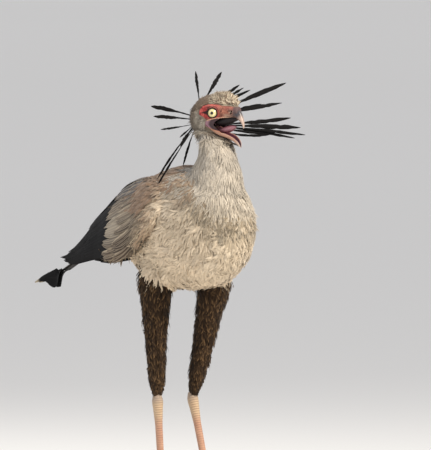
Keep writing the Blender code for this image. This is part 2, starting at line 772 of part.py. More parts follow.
def tail_vane(rows, length, offset, level, width, twist):
    """One tail feather from the rump back and down, turned about its own length near the tip."""
    along = Vector((0.0, math.cos(TAIL_SLOPE), -math.sin(TAIL_SLOPE)))
    normal = Vector((0.0, math.sin(TAIL_SLOPE), math.cos(TAIL_SLOPE)))
    path = []
    looks = []
    for share, _, lift in rows:
        beside = offset * (TAIL_ROOT_OFFSET + (1.0 - TAIL_ROOT_OFFSET) * share)
        path.append(TAIL_ROOT + LEFT * beside + normal * (level + lift) + along * (length * share))
        turn = twist * min(max((share - TAIL_TWIST_FROM) / (TAIL_TWIST_TO - TAIL_TWIST_FROM), 0.0), 1.0)
        looks.append((normal * math.cos(turn) - LEFT * math.sin(turn)).normalized())
    widths = [width * spread for _, spread, _ in rows]
    return blade("tail_vane", path, widths, looks, VANE_THICKNESS)


def make_tail(torso):
    """The rump cone with its stack of feathers, the middle pair far the longest."""
    path = []
    along = Vector((0.0, math.cos(TAIL_SLOPE), -math.sin(TAIL_SLOPE)))
    for reach, radius in RUMP_STATIONS:
        path.append((TAIL_ROOT + along * reach, radius, RUMP_FLATNESS * radius))
    tail = tube("tail", path, 12)
    vanes = []
    for pair in range(TAIL_PAIRS):
        share = pair / (TAIL_PAIRS - 1)
        length = TAIL_SIDE_LENGTH - TAIL_SHORTENING * share
        for side in (1, -1):
            level = TAIL_FIRST_LEVEL - TAIL_STEP_DOWN * pair - (TAIL_RIGHT_LOWER if side < 0 else 0.0)
            vanes.append(tail_vane(TAIL_FEATHER, length, side * (TAIL_FIRST_ASIDE + TAIL_STEP_ASIDE * share),
                                   level, TAIL_FEATHER_WIDTH * TAIL_STACK_WIDTH, 0.0))
    for length, offset, level in ((TAIL_CENTRAL_LENGTH, -0.004, 0.0045),
                                  (TAIL_CENTRAL_LENGTH * TAIL_NEXT_LENGTH, 0.005, 0.0020)):
        vanes.append(tail_vane(TAIL_STREAMER, length, offset, level, TAIL_FEATHER_WIDTH, TAIL_TWIST))
    return clear_of(combine(tail, vanes, "UNION"), [torso])


def leg_points(side):
    """The thigh's top, the ankle and the middle of the foot of one leg."""
    return [Vector(place) for place in (LEFT_LEG if side > 0 else RIGHT_LEG)]


def thigh_radius(share):
    """The trousers' radius at a share of the way from the hip to the ankle."""
    return float(np.interp(share, [row[0] for row in THIGH_STATIONS], [row[1] for row in THIGH_STATIONS]))


def trouser_lock(hip, ankle, share, angle, length):
    """One flat lock that hangs down the thigh and stands away from it at its tip."""
    along = (ankle - hip).normalized()
    across = along.cross(BACK).normalized()
    ahead = across.cross(along).normalized()
    outward = across * math.cos(angle) + ahead * math.sin(angle)
    span = (ankle - hip).length
    path = []
    for part, lift in LOCK_RISE:
        place = share + length * part / span
        depth = 1.0 + LOCK_SIDE_DEPTH * abs(math.sin(angle))
        path.append(hip + along * (place * span) + outward * (thigh_radius(place) * depth + lift))
    spacing = 2.0 * math.pi * thigh_radius(share) / LOCKS_IN_ROW
    widths = [min(LOCK_WIDTH, LOCK_SPREAD[0] * spacing) * part for part in LOCK_SPREAD]
    return blade("lock", path, widths, outward, LOCK_THICKNESS)


def make_thigh(side, name, torso, rng):
    """The upper leg under its trousers of dark locks."""
    hip, ankle, _ = leg_points(side)
    path = [(hip.lerp(ankle, share), radius * THIGH_FLATNESS, radius * THIGH_DEPTH)
            for share, radius in THIGH_STATIONS]
    thigh = tube(name, path, 12, level=BACK)
    locks = []
    for row in range(LOCK_ROWS):
        share = LOCK_TOP + LOCK_SPAN * row / (LOCK_ROWS - 1)
        for index in range(LOCKS_IN_ROW):
            angle = 2.0 * math.pi * (index + 0.5 * (row % 2)) / LOCKS_IN_ROW
            length = LOCK_LENGTH * rng.uniform(0.88, 1.12) * (1.0 - LOCK_SHORTENING * share)
            locks.append(trouser_lock(hip, ankle, share + rng.uniform(-0.012, 0.012), angle, length))
    return clear_of(combine(thigh, locks, "UNION"), [torso])


def make_tarsus(side, name, thigh):
    """The bare lower leg, with its ankle joint and a row of broad scutes down its front."""
    _, ankle, foot = leg_points(side)
    toe_joint = foot + UP * TOE_JOINT_HEIGHT
    along = (toe_joint - ankle).normalized()
    ahead = (-BACK - along * along.dot(-BACK)).normalized()
    first, last = TARSUS_STATIONS[0][0], TARSUS_STATIONS[-1][0]
    path = []
    for index in range(2 * SCUTES + 3):
        share = first + (last - first) * index / (2 * SCUTES + 2)
        _, half_width, half_depth = row_at(TARSUS_STATIONS, share)
        raised = SCUTE_RISE if index % 2 else 0.0
        path.append((ankle.lerp(toe_joint, share) + ahead * raised, half_width, half_depth + raised))
    return clear_of(tube(name, path, 9, level=BACK), [thigh])


def toe_place(foot, turn, length, share, radius):
    """A place on the middle line of a toe."""
    heading = Vector((math.sin(math.radians(turn)), -math.cos(math.radians(turn)), 0.0))
    height = radius * SOLE_RISE + TOE_ROOT_RISE * (1.0 - share) ** 3
    return foot + heading * (length * share + TOE_START) + UP * height


def make_foot(side, word, tarsus):
    """Three toes ahead and one behind on flat soles, and a claw on each."""
    foot = leg_points(side)[2]
    base = [(foot + UP * height, half_width, half_depth) for height, half_width, half_depth in FOOT_STATIONS]
    made = tube("foot_" + word, base, 12, level=BACK)
    toes = []
    claws = []
    for label, turn, length in TOES:
        turn = side * turn
        path = [(toe_place(foot, turn, length, share, radius), radius, radius)
                for share, radius in TOE_STATIONS]
        toes.append(tube("toe", path, 8))
        tip = path[-1][0]
        heading = (path[-1][0] - path[0][0]).normalized()
        heading.z = 0.0
        claw_path = [(tip + heading * (CLAW_LENGTH * share) + UP * rise, CLAW_RADIUS * size * CLAW_FLATNESS,
                      CLAW_RADIUS * size) for share, rise, size in CLAW_STATIONS]
        claws.append(tube("claw_" + word + "_" + label, claw_path, 6))
    made = combine(made, toes, "UNION")
    bpy.ops.mesh.primitive_cube_add(size=FLOOR_BLOCK, location=(foot.x, foot.y, -FLOOR_BLOCK / 2))
    made = combine(made, [bpy.context.object], "DIFFERENCE")
    made = clear_of(made, [tarsus] + claws)
    return made, claws


def make_tongue(others):
    """The tongue, which lies in the trough of the lower bill."""
    return clear_of(head_tube("tongue", TONGUE, 7, 8), others)


def gather(finished):
    """Put the pieces in the bird's own collection, on an empty at the body's middle line."""
    group = bpy.data.collections.new("secretary_bird")
    bpy.context.scene.collection.children.link(group)
    middle = bpy.data.objects.new("middle_line", None)
    middle.location = (SHIFT_X, SHIFT_Y, 0.0)
    group.objects.link(middle)
    for thing, finish in finished:
        for holder in list(thing.users_collection):
            holder.objects.unlink(thing)
        group.objects.link(thing)
        thing.parent = middle
        thing.data.materials.clear()
        thing.data.materials.append(finish)
        thing.data.shade_smooth()


def main():
    """Make every piece of the bird."""
    clear_scene()
    rng = random.Random(5)
    pale = material("pale_feather", (0.56, 0.49, 0.40), 0.8)
    grey = material("wing_feather", (0.27, 0.23, 0.19), 0.7)
    dark = material("dark_feather", (0.03, 0.025, 0.02), 0.7)
    face = material("face", (0.52, 0.20, 0.14), 0.6)
    horn = material("bill_horn", (0.42, 0.30, 0.24), 0.35)
    skin = material("leg_skin", (0.55, 0.38, 0.30), 0.6)
    iris = material("eye", (0.78, 0.70, 0.45), 0.1)
    flesh = material("tongue", (0.50, 0.26, 0.26), 0.4)
    claw = material("claw", (0.05, 0.04, 0.04), 0.35)

    torso = make_torso()
    neck = make_neck(torso, rng)
    eyes = [make_eye(1, "eye_left"), make_eye(-1, "eye_right")]
    bill = make_bill(neck)
    head = make_head(neck, eyes, bill, rng)
    finished = [(torso, pale), (neck, pale), (head, face), (make_tail(torso), dark)]
    finished += [(eye, iris) for eye in eyes] + [(half, horn) for half in bill]
    finished.append((make_tongue([head, bill[1], neck]), flesh))
    for side, word in ((1, "left"), (-1, "right")):
        finished.append((make_wing(side, "wing_" + word, torso, rng), grey))
        thigh = make_thigh(side, "thigh_" + word, torso, rng)
        tarsus = make_tarsus(side, "tarsus_" + word, thigh)
        foot, claws = make_foot(side, word, tarsus)
        finished += [(thigh, dark), (tarsus, skin), (foot, skin)] + [(each, claw) for each in claws]
    gather(finished)


main()
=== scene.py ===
# %% [markdown]
# A secretary bird, life size, with its bill open and its crest raised.
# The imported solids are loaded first. They fix every size and place, so each piece below is drawn
# from the same named sizes as the solids and then stands exactly where they stand.

# %% The frame
import math

import bpy
import numpy as np
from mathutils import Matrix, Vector


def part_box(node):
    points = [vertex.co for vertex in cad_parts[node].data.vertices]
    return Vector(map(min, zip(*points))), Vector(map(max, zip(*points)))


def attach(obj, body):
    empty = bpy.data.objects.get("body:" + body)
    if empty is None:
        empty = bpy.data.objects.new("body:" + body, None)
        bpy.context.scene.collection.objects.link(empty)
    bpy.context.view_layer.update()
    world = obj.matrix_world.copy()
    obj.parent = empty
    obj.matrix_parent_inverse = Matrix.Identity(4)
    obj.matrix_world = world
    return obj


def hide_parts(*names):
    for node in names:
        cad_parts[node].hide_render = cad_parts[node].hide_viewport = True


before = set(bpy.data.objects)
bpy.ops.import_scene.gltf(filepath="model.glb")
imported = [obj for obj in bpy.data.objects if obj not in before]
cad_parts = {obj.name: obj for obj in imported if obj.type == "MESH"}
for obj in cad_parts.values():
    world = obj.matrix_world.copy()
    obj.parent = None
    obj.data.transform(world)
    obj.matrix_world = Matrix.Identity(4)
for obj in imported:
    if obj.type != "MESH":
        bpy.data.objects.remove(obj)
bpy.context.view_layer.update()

torso_low, torso_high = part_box("torso")
BREAST_FRONT = -0.204
MIDDLE = np.array([(torso_low.x + torso_high.x) / 2.0, torso_low.y - BREAST_FRONT, 0.0])
print("middle line of the body at", MIDDLE.round(4), "with", len(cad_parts), "solids")

# %% [markdown]
# The camera stands ahead of the bird and to its right, a little above the height of its back.
# A long lens from far away keeps the legs and the head at one scale, as a field photograph does.
# The picture is 431 by 450 points, and one point is 2.4 mm at the bird.

# %% Camera
PICTURE_WIDTH, PICTURE_HEIGHT = 431, 450
METRES_PER_POINT = 0.0024
CAMERA_AZIMUTH = math.radians(-40.0)
CAMERA_RISE = math.radians(2.5)
CAMERA_DISTANCE = 22.0
MIDDLE_LINE_COLUMN = 192.0
ANKLE_ROW, ANKLE_LEVEL = 405.0, 0.32
SENSOR = 36.0

view_right = np.array([math.cos(CAMERA_AZIMUTH), math.sin(CAMERA_AZIMUTH), 0.0])
view_toward = np.array([math.sin(CAMERA_AZIMUTH) * math.cos(CAMERA_RISE),
                        -math.cos(CAMERA_AZIMUTH) * math.cos(CAMERA_RISE), math.sin(CAMERA_RISE)])
aim = MIDDLE + view_right * (PICTURE_WIDTH / 2 - MIDDLE_LINE_COLUMN) * METRES_PER_POINT
aim[2] = ANKLE_LEVEL + (ANKLE_ROW - PICTURE_HEIGHT / 2) * METRES_PER_POINT

camera = bpy.data.objects.new("camera", bpy.data.cameras.new("camera"))
bpy.context.scene.collection.objects.link(camera)
camera.location = aim + view_toward * CAMERA_DISTANCE
camera.rotation_euler = Vector(-view_toward).to_track_quat("-Z", "Y").to_euler()
camera.data.sensor_fit = "HORIZONTAL"
camera.data.sensor_width = SENSOR
camera.data.lens = SENSOR * CAMERA_DISTANCE / (PICTURE_WIDTH * METRES_PER_POINT)
camera.data.clip_end = 400.0
bpy.context.scene.camera = camera
print("lens", round(camera.data.lens, 1), "mm")

# %% [markdown]
# The sun of the photograph comes from the camera's right and above. A large soft lamp stands there,
# a weaker one fills the shaded side, and a pale sky lights all the rest.

# %% Light
def lamp(name, place, size, power, colour):
    """A square soft lamp that looks at the bird."""
    made = bpy.data.objects.new(name, bpy.data.lights.new(name, "AREA"))
    made.data.size = size
    made.data.energy = power
    made.data.color = colour
    made.location = aim + place
    made.rotation_euler = Vector(-place).to_track_quat("-Z", "Y").to_euler()
    bpy.context.scene.collection.objects.link(made)


UPWARDS = np.array([0.0, 0.0, 1.0])
lamp("key", view_right * 2.3 + view_toward * 2.2 + UPWARDS * 2.4, 0.9, 178.0, (1.0, 0.93, 0.82))
lamp("fill", view_right * -3.0 + view_toward * 2.0 + UPWARDS * 1.2, 2.4, 24.0, (0.9, 0.95, 1.0))
lamp("back", view_right * -1.5 - view_toward * 3.0 + UPWARDS * 2.6, 1.6, 42.0, (1.0, 0.97, 0.92))

SKY_COLOUR, SKY_STRENGTH = (0.95, 0.96, 1.0, 1.0), 0.7
sky = bpy.data.worlds.new("sky")
sky.use_nodes = True
sky.node_tree.nodes["Background"].inputs["Color"].default_value = SKY_COLOUR
sky.node_tree.nodes["Background"].inputs["Strength"].default_value = SKY_STRENGTH
bpy.context.scene.world = sky
bpy.context.scene.view_settings.view_transform = "Standard"
print("three lamps and a sky of strength", SKY_STRENGTH)

# %% [markdown]
# Every finish is a sum of masks and noises. One small class wraps a socket so that such a sum can be
# written as ordinary arithmetic, and it adds the Math nodes that the arithmetic stands for.
# A second class is the material itself: one method adds any other node.

# %% Shader arithmetic
class Signal:
    """A node's output that takes part in sums of numbers."""

    def __init__(self, sheet, socket):
        self.sheet = sheet
        self.socket = socket

    def __add__(self, other):
        return self.sheet.sum("ADD", self, other)

    def __sub__(self, other):
        return self.sheet.sum("SUBTRACT", self, other)

    def __mul__(self, other):
        return self.sheet.sum("MULTIPLY", self, other)

    def __rsub__(self, other):
        return self.sheet.sum("SUBTRACT", other, self)

    __radd__ = __add__
    __rmul__ = __mul__


class Sheet:
    """A material with one Principled shader, and the ways to add nodes to it.

    A colour is three numbers as a screen shows it, from 0 to 255, or four that are linear already.
    """

    def __init__(self, name, roughness=0.6, specular=0.4, coat=0.0, sheen=0.0, alike=()):
        self.material = bpy.data.materials.new(name)
        self.material.use_nodes = True
        self.tree = self.material.node_tree
        self.shader = self.tree.nodes["Principled BSDF"]
        fixed = {"Roughness": roughness, "Specular IOR Level": specular, "Coat Weight": coat,
                 "Sheen Weight": sheen, **dict(alike)}
        for socket, value in fixed.items():
            self.shader.inputs[socket].default_value = value

    def node(self, kind, settings=None, sockets=None, output=0):
        """Add a node: its settings first, then its sockets' values or links."""
        made = self.tree.nodes.new(kind)
        for setting, value in (settings or {}).items():
            setattr(made, setting, value)
        for socket, value in (sockets or {}).items():
            self.feed(made.inputs[socket], value)
        return Signal(self, made.outputs[output])

    def feed(self, socket, value):
        """Link a signal to a socket, or set the socket's own value."""
        if isinstance(value, Signal):
            self.tree.links.new(value.socket, socket)
        elif isinstance(value, tuple) and len(value) == 3:
            socket.default_value = (*paint(*value), 1.0)
        else:
            socket.default_value = value

    def sum(self, operation, first, second=0.0):
        """A Math node on one or two numbers."""
        return self.node("ShaderNodeMath", {"operation": operation}, {0: first, 1: second})

    def attribute(self, name):
        """A number stored on the mesh."""
        return self.node("ShaderNodeAttribute", {"attribute_name": name}, output="Fac")

    def place(self):
        """The point's own place in metres."""
        return self.node("ShaderNodeTexCoord", output="Object")

    def noise(self, scale, detail=3.0, roughness=0.55):
        """Cloudy noise from 0 to 1."""
        return self.node(
            "ShaderNodeTexNoise",
            sockets={"Vector": self.place(), "Scale": scale, "Detail": detail, "Roughness": roughness})

    def scales(self, scale):
        """The distance from the edges between small round scales."""
        return self.node(
            "ShaderNodeTexVoronoi", {"feature": "DISTANCE_TO_EDGE"}, {"Vector": self.place(), "Scale": scale})

    def step(self, value, low, high):
        """A soft step from 0 at low to 1 at high."""
        return self.node("ShaderNodeMapRange", {"interpolation_type": "SMOOTHSTEP"},
                         {"Value": value, "From Min": low, "From Max": high})

    def fade(self, value, low, high):
        """A soft step from 1 at low to 0 at high."""
        return 1 - self.step(value, low, high)

    def window(self, value, low, high, soft):
        """1 between low and high, fading over soft at both ends."""
        return self.step(value, low - soft, low + soft) * self.fade(value, high - soft, high + soft)

    def mix(self, share, first, second, blend="MIX"):
        """The first colour where the share is 0, and the second, or their product, where it is 1."""
        return self.node(
            "ShaderNodeMix", {"data_type": "RGBA", "blend_type": blend}, {0: share, 6: first, 7: second}, output=2)

    def layers(self, colour, *rows):
        """Colours laid over one another: each row is a share and the colour that it brings."""
        for share, tint in rows:
            colour = self.mix(share, colour, tint)
        return colour

    def set(self, **inputs):
        """Feed the shader's sockets, named with underscores for spaces."""
        for name, value in inputs.items():
            self.feed(self.shader.inputs[name.replace("_", " ")], value)

    def bump(self, height, distance, strength=1.0):
        """Raise the surface by a height signal times a distance in metres."""
        self.set(Normal=self.node("ShaderNodeBump", sockets={"Height": height, "Distance": distance,
                                                              "Strength": strength}))

    def finish(self, colour, grain, spread, least, distance, strength=1.0):
        """A colour, the roughness grain * spread + least, and the grain as a bump."""
        self.set(Base_Color=colour, Roughness=grain * spread + least)
        self.bump(grain, distance, strength)


def paint(red, green, blue):
    """A colour given as a screen shows it, from 0 to 255, in the linear numbers that shaders use."""
    screen = np.array([red, green, blue]) / 255.0
    linear = np.where(screen <= 0.04045, screen / 12.92, ((screen + 0.055) / 1.055) ** 2.4)
    return tuple(float(value) for value in linear)


print("a mid grey is", paint(128, 128, 128))

# %% [markdown]
# The floor is a wide pale disc, so that it also fills the background of the long lens.

# %% Floor
FLOOR_RADIUS = 180.0
bpy.ops.mesh.primitive_circle_add(vertices=96, radius=FLOOR_RADIUS, fill_type="NGON")
floor = bpy.context.object
floor.name = "floor"
floor_sheet = Sheet("floor_finish", roughness=0.95, specular=0.05)
floor_sheet.set(Base_Color=floor_sheet.mix(floor_sheet.noise(0.05, 1.0), (238, 236, 232), (241, 239, 235)))
floor.data.materials.append(floor_sheet.material)
print("floor of", FLOOR_RADIUS, "m round the bird")

# %% [markdown]
# All shapes are surfaces worked out as whole arrays. A few stations give a form's size along its
# length, a smooth curve is read through them, and closed rings of points are set along it.

# %% Curves and rings
def stacked(*parts):
    """Numbers, or arrays of them, set side by side along a new last axis."""
    return np.stack(np.broadcast_arrays(*parts), axis=-1)


def smooth_rows(rows, places):
    """Rows of numbers read on a smooth curve through the given rows.

    Each stretch is a cubic whose slope at a row is half the step between that row's neighbours.
    """
    rows = np.array(rows, dtype=float)
    padded = np.vstack([2 * rows[0] - rows[1], rows, 2 * rows[-1] - rows[-2]])
    places = np.asarray(places, dtype=float)
    first = np.clip(places.astype(int), 0, len(rows) - 2)
    t = (places - first)[..., None]
    a, b, c, d = (padded[first + i] for i in range(4))
    return 0.5 * (2 * b + (c - a) * t + (2 * a - 5 * b + 4 * c - d) * t ** 2 + (3 * b - a - 3 * c + d) * t ** 3)


def even_rows(rows, count):
    """The smooth curve through the rows, read at an even count of places."""
    return smooth_rows(rows, np.linspace(0.0, len(rows) - 1.0, count))


def rows_at(rows, values):
    """The smooth rows whose first numbers are about the given values."""
    return smooth_rows(rows, np.interp(values, [row[0] for row in rows], np.arange(len(rows))))


def unit(vectors):
    """Vectors of length one."""
    return vectors / np.maximum(np.linalg.norm(vectors, axis=-1, keepdims=True), 1e-12)


def ramp(low, high, value):
    """Smooth step from 0 at low to 1 at high."""
    share = np.clip((value - low) / (high - low), 0.0, 1.0)
    return share * share * (3.0 - 2.0 * share)


def turns(sides):
    """Angles evenly round a ring."""
    return 2.0 * np.pi * np.arange(sides) / sides


def oval_rings(centres, across, upward, half_across, half_up, sides, power=2.0):
    """Closed rings: centre + across * cos^(2/power) + upward * sin^(2/power), one ring for each centre."""
    cosine, sine = (
        np.sign(wave) * np.abs(wave) ** (2.0 / power) for wave in (np.cos(turns(sides)), np.sin(turns(sides))))
    across, upward = (np.broadcast_to(way, centres.shape)[:, None] for way in (across, upward))
    return (centres[:, None] + across * (half_across[:, None] * cosine)[..., None]
            + upward * (half_up[:, None] * sine)[..., None])


def tube_rings(path, half_across, half_up, sides, level=(0.0, 0.0, 1.0)):
    """Closed rings square to a path, their width square to the level direction."""
    along = unit(np.gradient(path, axis=0))
    across = unit(np.cross(along, level))
    return oval_rings(path, across, unit(np.cross(across, along)), half_across, half_up, sides)


def loop_faces(rows, sides):
    """Quads of a ring of rings, closed both ways."""
    r, c = np.meshgrid(np.arange(rows), np.arange(sides), indexing="ij")
    n, m = (c + 1) % sides, (r + 1) % rows
    return stacked(r * sides + c, r * sides + n, m * sides + n, m * sides + c).reshape(-1, 4)


def ring_faces(rows, sides):
    """Quads between neighbouring rings, and fans of triangles that close the first and last ring."""
    k = np.arange(1, sides - 1)
    near, far = stacked(0, k + 1, k), stacked(0, k, k + 1) + (rows - 1) * sides
    return loop_faces(rows, sides)[:(rows - 1) * sides], np.vstack([near, far])


print("two rings of eight points make", len(ring_faces(2, 8)[0]), "quads")

# %% [markdown]
# One function writes every mesh. It takes arrays of points and faces, turns the faces outwards where
# the enclosed volume comes out negative, and stores numbers that the finishes read.

# %% Writing a mesh
def turned_out(points, quads, triangles):
    """The faces, turned round where the tetrahedra between the middle and each face sum to less than 0."""
    corners = np.vstack([quads[:, [0, 1, 2]], quads[:, [0, 2, 3]], triangles]).astype(int)
    a, b, c = np.moveaxis((points - points.mean(axis=0))[corners], 1, 0)
    if np.einsum("ij,ij->i", a, np.cross(b, c)).sum() < 0.0:
        return quads[:, ::-1], triangles[:, ::-1]
    return quads, triangles


def store_numbers(mesh, shape, numbers):
    """Keep numbers by name on a mesh's points. They are broadcast to the points' shape."""
    for label, values in numbers.items():
        store = mesh.attributes.new(label, "FLOAT", "POINT")
        store.data.foreach_set("value", np.broadcast_to(values, shape).astype(np.float32).ravel())


def write_mesh(name, points, quads, triangles=(), numbers=None, bake_map=None, sharp=None):
    """A mesh object from points (..., 3) about the bird's middle line, quads (q, 4) and triangles (t, 3).

    numbers are values for the points by name, bake_map is a place (..., 2) for each point, and sharp
    the angle in degrees from which an edge is drawn hard.
    """
    shape = points.shape[:-1]
    points = points.reshape(-1, 3) + MIDDLE
    quads, triangles = turned_out(
        points, np.asarray(quads, np.int32).reshape(-1, 4), np.asarray(triangles, np.int32).reshape(-1, 3))
    corners = np.concatenate([quads.ravel(), triangles.ravel()])
    totals = np.repeat([4, 3], [len(quads), len(triangles)])
    mesh = bpy.data.meshes.new(name)
    mesh.vertices.add(len(points))
    mesh.vertices.foreach_set("co", points.astype(np.float32).ravel())
    mesh.loops.add(len(corners))
    mesh.loops.foreach_set("vertex_index", corners)
    mesh.polygons.add(len(totals))
    mesh.polygons.foreach_set("loop_start", (np.cumsum(totals) - totals).astype(np.int32))
    mesh.update(calc_edges=True)
    mesh.validate()
    if bake_map is not None:
        layer = mesh.uv_layers.new(name="OFBake")
        layer.uv.foreach_set("vector", bake_map.reshape(-1, 2).astype(np.float32)[corners].ravel())
    store_numbers(mesh, shape, numbers or {})
    mesh.shade_smooth()
    if sharp:
        mesh.set_sharp_from_angle(angle=math.radians(sharp))
    made = bpy.data.objects.new(name, mesh)
    bpy.context.scene.collection.objects.link(made)
    return made


def write_rings(name, rings, numbers=None):
    """A closed surface over rings (rows, sides, 3)."""
    return write_mesh(name, rings, *ring_faces(*rings.shape[:2]), numbers)


def join_rings(name, many):
    """Several closed surfaces in one mesh."""
    points, quads, triangles, start = [], [], [], 0
    for rings in many:
        flat = rings.reshape(-1, 3)
        some_quads, some_triangles = turned_out(flat, *ring_faces(*rings.shape[:2]))
        points.append(flat)
        quads.append(some_quads + start)
        triangles.append(some_triangles + start)
        start += len(flat)
    return write_mesh(name, np.vstack(points), np.vstack(quads), np.vstack(triangles))


def dress(piece, sheet, slot, *nodes):
    """Give a piece its finish, its body and the solids that it stands for. The slot is not used."""
    piece.data.materials.clear()
    piece.data.materials.append(sheet.material)
    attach(piece, "root")
    if nodes:
        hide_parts(*nodes)
    print(piece.name, len(piece.data.polygons), "faces")

# %% [markdown]
# The skin is one closed surface. The trunk, the neck, the folded wings and the thighs are drawn as
# overlapping forms and then melted into one by a voxel remesh, so that no seam shows between them.
# It lies inside the solids by the depth of the coat that grows from it.

# %% Sizes of the trunk, neck, wings and legs
TORSO_STATIONS = [
    (-0.204, 0.762, 0.738, 0.008), (-0.184, 0.816, 0.684, 0.048), (-0.139, 0.864, 0.633, 0.081),
    (-0.076, 0.889, 0.604, 0.098), (0.0, 0.898, 0.595, 0.103), (0.072, 0.886, 0.598, 0.096),
    (0.143, 0.862, 0.616, 0.078), (0.215, 0.82, 0.662, 0.052), (0.265, 0.788, 0.708, 0.03),
    (0.29, 0.762, 0.738, 0.008)]
NECK_STATIONS = [
    (0.826, -0.084, 0.062, 0.069), (0.862, -0.086, 0.0655, 0.0745), (0.889, -0.091, 0.057, 0.0625),
    (0.916, -0.095, 0.0475, 0.051), (0.938, -0.091, 0.042, 0.0455), (0.953, -0.084, 0.0385, 0.04),
    (0.966, -0.07, 0.034, 0.031), (0.98, -0.054, 0.028, 0.021), (0.992, -0.046, 0.019, 0.013)]
WING_STATIONS = [
    (0.004, 0.8, 0.095, 0.024, 0.006), (0.026, 0.796, 0.092, 0.056, 0.017),
    (0.064, 0.786, 0.087, 0.08, 0.024), (0.116, 0.768, 0.078, 0.096, 0.025),
    (0.188, 0.751, 0.066, 0.093, 0.021), (0.23, 0.742, 0.058, 0.078, 0.017),
    (0.28, 0.722, 0.05, 0.061, 0.013), (0.33, 0.7, 0.044, 0.047, 0.01),
    (0.395, 0.668, 0.037, 0.025, 0.006), (0.448, 0.657, 0.032, 0.012, 0.003)]
WING_LEAN = 0.34
WING_FLESH_END = 0.235
THIGH_STATIONS = [
    (-0.15, 0.012), (-0.12, 0.026), (-0.06, 0.035), (0.04, 0.0375), (0.32, 0.0275), (0.6, 0.0215), (0.85, 0.0165),
    (0.965, 0.011)]
LEGS = {1: np.array([(0.058, -0.018, 0.62), (0.058, 0.067, 0.33), (0.062, -0.016, 0.0)]),
        -1: np.array([(-0.058, 0.07, 0.62), (-0.058, 0.06, 0.33), (-0.047, 0.048, 0.0)])}
RUMP_STATIONS = [(-0.06, 0.03), (0.02, 0.026), (0.08, 0.02), (0.13, 0.009), (0.15, 0.003)]
WORDS = {1: "left", -1: "right"}
BODY_COAT = 0.0085
NECK_COAT = 0.007
WING_COAT = 0.005
THIGH_COAT = 0.004


def torso_rings(depth):
    """Squarish ovals along the trunk, drawn in by a depth."""
    behind, back, belly, half_width = even_rows(TORSO_STATIONS, 44).T
    centres = stacked(0.0, behind * (1.0 - depth / 0.2), (back + belly) / 2)
    return oval_rings(
        centres, (1, 0, 0), (0, 0, 1), np.maximum(half_width - depth, 0.002),
        np.maximum((back - belly) / 2 - depth, 0.002), 56, 2.25)


def neck_rings(depth):
    """Ovals up the neck, drawn in by a depth."""
    height, behind, half_width, half_depth = even_rows(NECK_STATIONS, 36).T
    centres = stacked(0.0, behind, height)
    return oval_rings(centres, (1, 0, 0), (0, 1, 0), half_width - depth, half_depth - depth, 48)


def wing_rings(side, depth):
    """Leaning ovals along the folded wing's own flesh."""
    last = np.interp(WING_FLESH_END, [row[0] for row in WING_STATIONS], np.arange(len(WING_STATIONS)))
    places = np.linspace(0.0, last, 30)
    behind, height, beside, half_height, half_width = smooth_rows(WING_STATIONS, places).T
    shrink = 1.0 - 0.6 * (places / last) ** 6
    centres = stacked(side * beside, behind, height)
    return oval_rings(
        centres, (1, 0, 0), (-side * WING_LEAN, 0, 1), np.maximum(half_width - depth, 0.002) * shrink,
        np.maximum(half_height - depth, 0.003) * shrink, 40)


def thigh_rings(side, depth):
    """Ovals down the thigh from the hip to the ankle."""
    hip, ankle = LEGS[side][:2]
    share, radius = even_rows(THIGH_STATIONS, 40).T
    path = hip + (ankle - hip) * share[:, None]
    inner = np.maximum(radius - depth * np.clip(1.6 - share, 0.4, 1.0), 0.004)
    return tube_rings(path, inner * 0.97, inner * 1.09, 32, level=(0, 1, 0))


def rump_rings():
    """The root of the tail."""
    slope = math.radians(24.0)
    along = np.array([0.0, math.cos(slope), -math.sin(slope)])
    share, radius = even_rows(RUMP_STATIONS, 14).T
    path = np.array([0.0, 0.205, 0.76]) + along * share[:, None]
    return tube_rings(path, radius, radius * 0.6, 24)


print("stations of the trunk, neck and wing", len(TORSO_STATIONS), len(NECK_STATIONS), len(WING_STATIONS))

# %% [markdown]
# The remesh gives even small squares. Its voxel is a little under 3 mm, which is finer than any form
# that the feathers let show, and a smoothing pass rounds the folds where two forms meet.

# %% The skin of the body
def combine(thing, other, operation):
    """Add another form to a mesh, or cut it away."""
    step = thing.modifiers.new(operation, "BOOLEAN")
    step.operation, step.solver, step.object = operation, "MANIFOLD", other


def remesh(thing, voxel):
    """Draw a mesh anew with even squares."""
    step = thing.modifiers.new("melt", "REMESH")
    step.mode, step.voxel_size = "VOXEL", voxel


def melt(thing, voxel, rounds, factor=0.5, cutters=()):
    """Fuse a mesh's closed forms by voxels, cut it, and smooth what comes out."""
    remesh(thing, voxel)
    for cutter in cutters:
        combine(thing, cutter, "DIFFERENCE")
    if cutters:
        remesh(thing, voxel)
    ease = thing.modifiers.new("ease", "SMOOTH")
    ease.factor, ease.iterations = factor, rounds
    mesh = bpy.data.meshes.new_from_object(thing.evaluated_get(bpy.context.evaluated_depsgraph_get()))
    thing.modifiers.clear()
    thing.data = mesh
    mesh.shade_smooth()
    for cutter in cutters:
        bpy.data.objects.remove(cutter, do_unlink=True)


body_skin = join_rings("body_skin", [torso_rings(BODY_COAT), neck_rings(NECK_COAT), rump_rings()]
                       + [wing_rings(side, WING_COAT) for side in (1, -1)]
                       + [thigh_rings(side, THIGH_COAT) for side in (1, -1)])
melt(body_skin, 0.0029, 14)
print("body skin", len(body_skin.data.polygons), "faces")

# %% [markdown]
# Feathers are scattered over the skin. Points are drawn on its triangles with odds by their area, and
# of all points that fall in one small cube only one is kept, which spreads them evenly.

# %% Scattering points
TRIES = 5.0
CUBE_KEYS = np.array([2 ** 22, 2 ** 11, 1])


def read(source, field, kind):
    """Three numbers for each element of a mesh."""
    values = np.empty(len(source) * 3, kind)
    source.foreach_get(field, values)
    return values.reshape(-1, 3)


